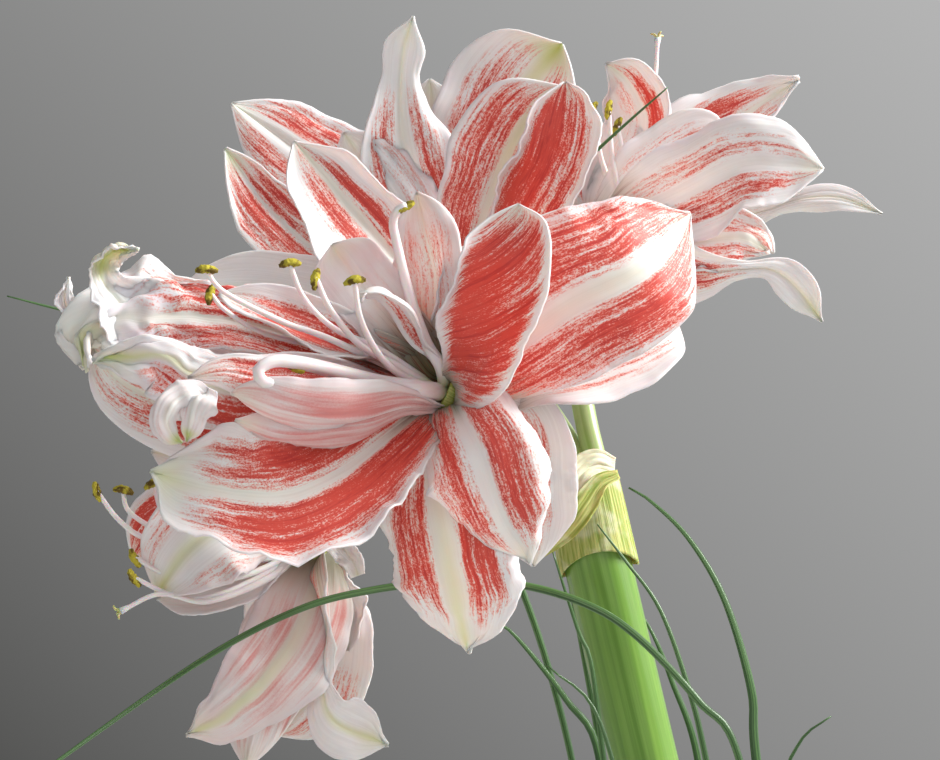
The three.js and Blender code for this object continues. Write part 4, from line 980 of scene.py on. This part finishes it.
piece("pottingSoil", bm, [soilFinish()], "soil")

grit = random.Random(11)
bm = bmesh.new()
kinds = bm.verts.layers.float.new("seed")
for k in range(420):
    angle, radius = grit.uniform(0, 2 * math.pi), math.sqrt(grit.uniform(48 ** 2, 72 ** 2))
    spot = Vector((radius * math.cos(angle), radius * math.sin(angle), soilTop - 0.4))
    if any((spot.xy - Vector(xy)).length < 9 for xy in tufts.values()):
        continue
    white = grit.random() < 0.3
    size = grit.uniform(0.5, 1.5) if white else grit.uniform(0.7, 2.2)
    stretch = Vector((1, 1, 1)) if white else Vector((1.8, 0.8, 0.35))
    turn = Matrix.Rotation(grit.uniform(0, 6.3), 4, "Z") @ Matrix.Rotation(grit.uniform(-0.4, 0.4), 4, "X")
    matrix = Matrix.Translation(spot) @ turn @ Matrix.Diagonal((*(stretch * size), 1))
    made = bmesh.ops.create_icosphere(bm, subdivisions=1, radius=1, matrix=matrix)["verts"]
    for vert in made:
        vert.co += noise.noise_vector(vert.co * 1.3) * size * 0.35
        vert[kinds] = 1.0 if white else 0.0
piece("perliteAndBark", bm, [gritFinish()], "soil")
print("soil")


def bulbFinish():
    f = Finish("bulbTunic")
    ribs = f.noise(f.map(1.6, 0.14), scale=2.0, detail=4.0, roughness=0.7)
    patch = f.noise(f.place((1, 1, 0.4)), scale=42, detail=4.0, roughness=0.65)
    height = f.node("SeparateXYZ", None, {0: f.place()}, 2)
    shade = f.blend(colour(112, 66, 30), colour(186, 132, 78), ribs.smooth(0.35, 0.68))
    shade = f.blend(shade, colour(70, 38, 18), patch.smooth(0.5, 0.7) * 0.8)
    shade = f.blend(shade, colour(168, 170, 96), height.smooth(0.15, 0.166) * 0.8)
    return f.done({
        "Base Color": shade,
        "Roughness": 0.55 + (patch - 0.5) * 0.5,
        "Normal": f.bump(ribs * 0.8 + patch * 0.4, 0.6, 0.0014),
    })


bm = bmesh.new()
b = bulbForm
shoulder = Path([(44, 0, 102), (42, 0, 120), (34, 0, 138), (25, 0, 150), (20.5, 0, 159), (19.5, 0, 166)])
skin = [(p.x, p.z) for p in shoulder.stretch(0, shoulder.length, 50)]
depth = b["neckTop"] - b["socketDepth"]
profile = [(0, b["low"]), *bulbSide[:-1], *skin, (b["socketRadius"] + 3, b["neckTop"] - 0.4),
           (b["socketRadius"], b["neckTop"] - 0.8), (b["socketRadius"], depth), (0, depth)]
addTurned(bm, profile, 180)
for vert in bm.verts:
    radius = math.hypot(vert.co.x, vert.co.y)
    if vert.co.z > 118 and radius > b["socketRadius"] + 1:
        angle = math.atan2(vert.co.y, vert.co.x)
        swirl = Vector((math.cos(angle) * 3, math.sin(angle) * 3, vert.co.z * 0.02))
        inward = 0.5 * abs(noise.noise(swirl * 2)) + 0.25 * abs(math.sin(17 * angle + 3 * noise.noise(swirl)))
        inward *= smooth(118, 124, vert.co.z) * (1 - 0.7 * smooth(155, 166, vert.co.z))
        vert.co.x *= 1 - inward * 1.6 / radius
        vert.co.y *= 1 - inward * 1.6 / radius
piece("bulbTunics", bm, [bulbFinish()], "bulb")
print("bulb")


blooms = dict(bloom_front=frontBloom, bloom_top=topBloom, bloom_right=rightBloom, bloom_low=lowBloom)

petalSkins = [petalFinish("petalInside", False), petalFinish("petalOutside", True)]
throatSkin = throatFinish()
filamentSkin = filamentFinish()
antherSkin = antherFinish()

for k, (node, bloom) in enumerate(blooms.items()):
    seed = 20.0 * k
    name = node.split("_")[1]
    bm = bmesh.new()
    addPetals(bm, bloom, seed)
    piece(name + "Petals", bm, petalSkins, node, bloomForm["petal"])
    bm = bmesh.new()
    addThroat(bm, bloom)
    piece(name + "Throat", bm, [throatSkin], node)
    filaments, anthers = bmesh.new(), bmesh.new()
    addStamens(filaments, anthers, bloom, seed)
    piece(name + "Filaments", filaments, [filamentSkin], node)
    piece(name + "Anthers", anthers, [antherSkin], node)
    print("bloom", name)


# Scape, pedicels and ovaries

scapeForm = dict(
    path=[(92, 0, -413), (92.5, 0, -340), (88, 0, -262), (77, 0, -198), (62.6, 0, -137), (44.1, 0, -58)],
    radius=13,
    taper=0.9,
    pedicelRadius=4.4,
    ovaryRadius=6.6,
    gap=1.05,
)


def scapeFinish():
    f = Finish("scapeGreen")
    lines = f.noise(f.map(4.4, 0.06), detail=3.0, roughness=0.6)
    cloud = f.noise(f.place((1, 1, 0.25)), scale=45, detail=2.0)
    height = f.node("SeparateXYZ", None, {0: f.place()}, 2)
    low = f.blend(colour(98, 142, 44), colour(130, 170, 74), lines.smooth(0.3, 0.7))
    # the paler green of the upper stalks is partly their own colour and partly a painted highlight
    high = f.blend(colour(166, 190, 110), colour(204, 216, 162), lines.smooth(0.3, 0.7))
    shade = f.blend(low, high, height.smooth(0.5, 0.55))
    shade = f.blend(shade, colour(96, 142, 38), cloud.smooth(0.45, 0.8) * 0.45)
    fine = f.noise(f.map(11.0, 0.3), detail=2.0)
    return f.done({
        "Base Color": shade,
        "Roughness": 0.34 + (cloud - 0.5) * 0.2,
        "Normal": f.bump(lines * 0.6 + fine * 0.4, 0.12, 0.0004),
        "Subsurface Weight": 0.25,
        "Subsurface Radius": (0.4, 1.0, 0.2),
        "Subsurface Scale": 0.004,
        "Coat Weight": 0.35,
        "Coat Roughness": 0.3,
    })


bm = bmesh.new()
r, taper = scapeForm["radius"], scapeForm["taper"]
addStem(bm, Path([head + Vector(p) for p in scapeForm["path"]]),
        lambda t, a: r - taper * t + 0.05 * math.sin(9 * a) + 0.04 * math.sin(23 * a + 5 * t), 96, 140)
for bloom in blooms.values():
    whole = stalkPath(bloom)
    end = whole.length - bloomForm["tube"] - bloomForm["heart"] - scapeForm["gap"]
    points = whole.stretch(0, end, 8)
    points.insert(0, points[0] + (points[0] - points[1]).normalized() * 6)

    def pedicel(t, angle):
        swell = (scapeForm["ovaryRadius"] - scapeForm["pedicelRadius"]) * hump(t, 0.9, 0.09)
        return scapeForm["pedicelRadius"] + swell * (1 + 0.16 * math.cos(3 * angle)) - 0.3

    addStem(bm, Path(points), pedicel, 40, 70)
piece("scapeAndStalks", bm, [scapeFinish()], "scape")
print("scape")


# Spathe

spatheForm = dict(
    low=(46.6, 0, -69),
    high=(40.6, 0, -37),
    lowRadius=14.6,
    highRadius=13.2,
    wall=0.7,
    arch=8,
)

bractForm = dict(bladeForm, claw=0.5, widest=0.4, sharp=1.5, ruffle=0.6, frill=0.3, jag=0.05, warp=0.5,
                 keel=0.2, pale=0.0, fineness=(28, 56))

bracts = [
    dict(path=[(52.2, -20, -33.2), (45.7, -24, -35.8), (39.9, -27, -43.4), (32.9, -29, -52.8),
               (21.7, -30, -64.3)],
         width=9.5, cup=(10, 10, 10), face=(0.2, -1, 0.1), outline=(0.35, 0.7, 1, 0.9, 0.5, 0.02)),
    dict(path=[(51.1, -15, -31.9), (44.5, -19, -30.4), (39.0, -23, -34.5), (35.5, -25, -43.2)],
         width=13, cup=(10, 10, 20), face=(0.1, -1, 0.3), outline=(0.7, 0.9, 1, 0.9, 0.5), pale=1.0),
    dict(path=[(42, 12, -40), (42, 20, -39), (43, 26, -50), (44, 27, -78)], width=17, cup=(10, 20, 30),
         face=(0, 1, 0)),
]


def spatheFinish():
    f = Finish("paperySpathe")
    veins = f.noise(f.map(7.0, 0.25), detail=3.0, roughness=0.6)
    patch = f.noise(f.place(), scale=110, detail=3.0)
    shade = f.blend(colour(140, 158, 62), colour(206, 206, 128), veins.smooth(0.35, 0.68))
    shade = f.blend(shade, colour(236, 230, 206), patch.smooth(0.5, 0.72) * 0.5 + f.attribute("pale") * 0.8)
    return f.done({
        "Base Color": shade,
        "Roughness": 0.75,
        "Normal": f.bump(veins, 0.7, 0.0008),
        "Subsurface Weight": 0.3,
        "Subsurface Scale": 0.003,
    })


def addCollar(bm):
    uv = mapLayer(bm)
    low, high = (head + Vector(spatheForm[key]) for key in ("low", "high"))
    axis = (high - low).normalized()
    right = Vector((1, 0, 0))
    right = (right - axis * right.dot(axis)).normalized()
    away = axis.cross(right)
    made = bmesh.ops.create_grid(bm, x_segments=96, y_segments=24, size=1)["verts"]
    mapFaces(facesOf(made), uv, lambda x, y, z: (x * 4.5, y * 1.6))
    for vert in made:
        angle, t = (vert.co.x + 1) * math.pi, (vert.co.y + 1) / 2
        lift = spatheForm["arch"] * max(0, -math.sin(angle)) ** 1.3
        radius = mix(spatheForm["lowRadius"], spatheForm["highRadius"], t) - spatheForm["wall"] / 2
        radius += 0.22 * noise.noise(Vector((math.cos(angle) * 5, math.sin(angle) * 5, t * 1.5)))
        radius += 0.1 * math.sin(31 * angle)
        out = right * math.cos(angle) + away * math.sin(angle)
        vert.co = (low + axis * lift * (1 - t)).lerp(high, t) + out * radius
    bmesh.ops.remove_doubles(bm, verts=made, dist=1e-4)


bm = bmesh.new()
addCollar(bm)
for k, bract in enumerate(bracts):
    form = {**bractForm, **bract}
    path = Path([head + Vector(p) for p in bract["path"]])
    addBlade(bm, path, Vector(bract["face"]), form, ("pale",), lambda u, t: (form["pale"],), 3.0 + k)
piece("spatheBracts", bm, [spatheFinish()], "spathe", thickness=spatheForm["wall"])
print("spathe")


# Strap leaves

leafForm = dict(bladeForm, claw=0.6, widest=0.5, sharp=3.5, ruffle=0, frill=0, jag=0, pleat=0, warp=0.5,
                keel=0.6, cup=(42, 22, 14), fineness=(28, 110), thickness=1.9)

leaves = dict(
    leaf_right=dict(path=[(17.4, 1.5, 166.8), (24, 6, 196), (46, 16, 238), (86, 30, 262), (132, 42, 240)],
                    width=36),
    leaf_left=dict(path=[(-17.4, -2, 166.8), (-22, -4, 194), (-42, -12, 236), (-84, -26, 264),
                         (-136, -42, 248)], width=38),
    leaf_back=dict(path=[(-1.5, 17.4, 166.8), (2, 26, 194), (16, 52, 226), (38, 92, 242), (60, 128, 226)],
                   width=34),
    leaf_front=dict(path=[(4, -17, 166.8), (5, -20, 186), (8, -28, 214), (8, -46, 240)], width=26),
)


def leafFinish():
    f = Finish("leafGreen")
    veins = f.noise(f.map(9.0, 0.12), detail=3.0, roughness=0.6)
    cloud = f.noise(f.place(), scale=22, detail=3.0)
    rib = f.attribute("rib")
    shade = f.blend(colour(40, 84, 28), colour(86, 132, 52), veins.smooth(0.3, 0.7))
    shade = f.blend(shade, colour(108, 150, 66), cloud.smooth(0.5, 0.8) * 0.5)
    shade = f.blend(shade, colour(150, 182, 104), rib)
    return f.done({
        "Base Color": shade,
        "Roughness": 0.4 + (cloud - 0.5) * 0.25,
        "Normal": f.bump(veins, 0.35, 0.0008),
        "Subsurface Weight": 0.15,
        "Subsurface Scale": 0.003,
        "Coat Weight": 0.2,
        "Coat Roughness": 0.35,
    })


def leafPaint(u, t):
    return (0.5 * hump(u, 0, 0.1) + 0.35 * smooth(0.93, 1, abs(u)) + 0.5 * (1 - smooth(0, 0.16, t)),)


leafSkin = leafFinish()
for k, (node, leaf) in enumerate(leaves.items()):
    form = {**leafForm, **leaf}
    path = Path(leaf["path"])
    inner = Vector((-leaf["path"][0][0], -leaf["path"][0][1], 0)).normalized()
    bm = bmesh.new()
    addBlade(bm, path, inner, form, ("rib",), leafPaint, 40.0 + k)
    piece("strapLeaf" + node.split("_")[1].title(), bm, [leafSkin], node,
          leafForm["thickness"])
print("leaves")


# Thin blades in three tufts

tuftForm = dict(width=3.5, depth=1.2, radius=6.2, sunk=9, crown=[(5.4, 12), (4.2, 15), (2.4, 16.6), (0, 17)],
                spread=2.4)

grassPaths = dict(
    grass_right=[
        [(128, -24, -330), (112, -29, -215), (100, -30, -133), (98, -32, -108), (89, -30, -77),
         (77, -26, -56), (64, -22, -43), (56, -20, -38)],
        [(126, -34, -320), (108, -40, -210), (93, -40, -131), (79, -40, -111), (59, -34, -90),
         (42, -29, -79), (18, -25, -72), (-8, -26, -71), (-33, -32, -73), (-59, -44, -79), (-91, -60, -95),
         (-133, -100, -123), (-156, -118, -140)],
        [(122, -24, -320), (98, -26, -210), (83, -25, -134), (77, -24, -109), (67, -22, -81),
         (55, -20, -64), (45, -18.5, -51)],
        [(134, -14, -320), (118, -6, -210), (113, -2, -150), (119, 0, -130), (130, 0, -121)],
    ],
    grass_front=[
        [(60, -44, -320), (52, -30, -210), (46, -17, -135), (34, -18, -113), (16, -24, -90), (8, -30, -84)],
        [(64, -42, -300), (60, -30, -190), (46, -24, -121), (27, -26, -100)],
        [(66, -40, -340), (60, -30, -220), (48, -20, -140), (43, -17, -101), (38, -17, -88),
         (29, -19, -60)],
    ],
    grass_rear=[
        [(80, 42, -300), (90, 34, -200), (84, 24, -140), (74, 23, -110), (68, 22, -95), (62, 26, -84)],
        [(66, 62, -300), (56, 70, -180), (36, 72, -60), (28, 58, 0), (30, 42, 45), (36, 28, 72),
         (44, 29, 82), (58, 27, 95), (73, 25, 108)],
        [(58, 58, -300), (40, 66, -150), (6, 60, -50), (-40, 40, -2), (-90, 8, 16), (-135, -28, 23),
         (-160, -40, 29)],
    ],
)


def grassFinish():
    f = Finish("grassGreen")
    lines = f.noise(f.map(14.0, 0.08), detail=2.0)
    across = f.node("SeparateXYZ", None, {0: f.map(1, 1)}, 0)
    shade = f.blend(colour(46, 82, 36), colour(84, 122, 66), lines.smooth(0.4, 0.6))
    # a pale streak down one side of each blade: a painted highlight
    paintedHighlight = across.smooth(0.2, 0.3) * (1 - across.smooth(0.4, 0.5))
    shade = f.blend(shade, colour(150, 180, 138), paintedHighlight * 0.7)
    return f.done({
        "Base Color": shade,
        "Roughness": 0.45,
        "Coat Weight": 0.2,
    })


def addGrass(bm, base, points, seed):
    path = Path([base, *(head + Vector(p) for p in points)])
    a, b = tuftForm["width"] / 2 * (1.1 if seed == 0 else 0.8), tuftForm["depth"] / 2

    def section(t, angle):
        slim = math.sqrt(min(1, (1.01 - t) / 0.3))
        return max(a * b / math.hypot(b * math.cos(angle), a * math.sin(angle)) * slim, 0.15)

    addStem(bm, path, section, 14, 16 * len(points), seed, look=Vector((0.3, -1, 0.2)))


grassSkin = grassFinish()
for node, (x, y) in tufts.items():
    bm = bmesh.new()
    low = soilForm["top"] - tuftForm["sunk"]
    r = tuftForm["radius"]
    crown = [(0, 0), (r, 0), (r, tuftForm["sunk"]), *tuftForm["crown"]]
    addTurned(bm, crown, 28, Matrix.Translation((x, y, low)))
    paths = grassPaths[node]
    for i, points in enumerate(paths):
        turn = 2 * math.pi * i / len(paths)
        foot = Vector((math.cos(turn), math.sin(turn), 0)) * tuftForm["spread"]
        addGrass(bm, Vector((x, y, low + 5)) + foot, points, i)
    piece("grassTuft" + node.split("_")[1].title(), bm, [grassSkin], node)
print("grass")


# Floor, light and camera

def paleFinish():
    f = Finish("paleFloor")
    grain = f.noise(f.place(), scale=3.0, detail=2.0)
    shade = f.blend(colour(186, 186, 184), colour(194, 194, 192), grain.smooth(0.3, 0.7))
    return f.done({"Base Color": shade, "Roughness": 0.8})


bm = bmesh.new()
bmesh.ops.create_circle(bm, cap_ends=True, segments=96, radius=2.6)
mesh = bpy.data.meshes.new("paleFloor")
bm.to_mesh(mesh)
bm.free()
floor = bpy.data.objects.new("paleFloor", mesh)
mesh.materials.append(paleFinish())
bpy.context.collection.objects.link(floor)


def addLight(name, kind, place, target, **settings):
    lamp = bpy.data.lights.new(name, kind)
    for key, value in settings.items():
        setattr(lamp, key, value)
    made = bpy.data.objects.new(name, lamp)
    made.location = place
    made.rotation_euler = (Vector(target) - Vector(place)).to_track_quat("-Z", "Y").to_euler()
    bpy.context.collection.objects.link(made)


addLight("windowLight", "SUN", (0, 0, 0), (-1.42, -0.1, -0.9), energy=6, angle=math.radians(28),
         color=(1.0, 0.99, 0.97))
addLight("roomFill", "AREA", (-0.7, -1.6, 1.5), (-0.07, 0, 0.57), shape="DISK", size=1.4, energy=8,
         color=(0.96, 0.98, 1.0))
addLight("lowFill", "AREA", (0.8, -2.0, 1.2), (0, 0, 0.3), shape="DISK", size=1.6, energy=6,
         color=(1.0, 0.99, 0.97))

# A grey room, darker at the lower left and behind the camera
room = Finish("greyRoom", bpy.data.worlds)
x, y, z = (room.node("SeparateXYZ", None, {0: room.node("TexCoord")}, k) for k in range(3))
rise = room.node("MapRange", None, {0: x + z, 1: -0.34, 2: 0.45})
facing = room.node("MapRange", None, {0: y, 1: -0.5, 2: 0.7, 3: 0.32})
grey = room.blend((0.068, 0.068, 0.065, 1), (0.55, 0.55, 0.55, 1), rise)
bpy.context.scene.world = room.done({0: grey, 1: facing}, "Background", "OutputWorld")

lens = bpy.data.cameras.new("photoView")
lens.sensor_width = 36
lens.lens = 106.4
camera = bpy.data.objects.new("photoView", lens)
camera.location = (-0.092, -1.0, 0.57)
camera.rotation_euler = (math.radians(90), 0, 0)
bpy.context.collection.objects.link(camera)
bpy.context.scene.camera = camera
bpy.context.scene.view_settings.view_transform = "Standard"
print("light and camera")
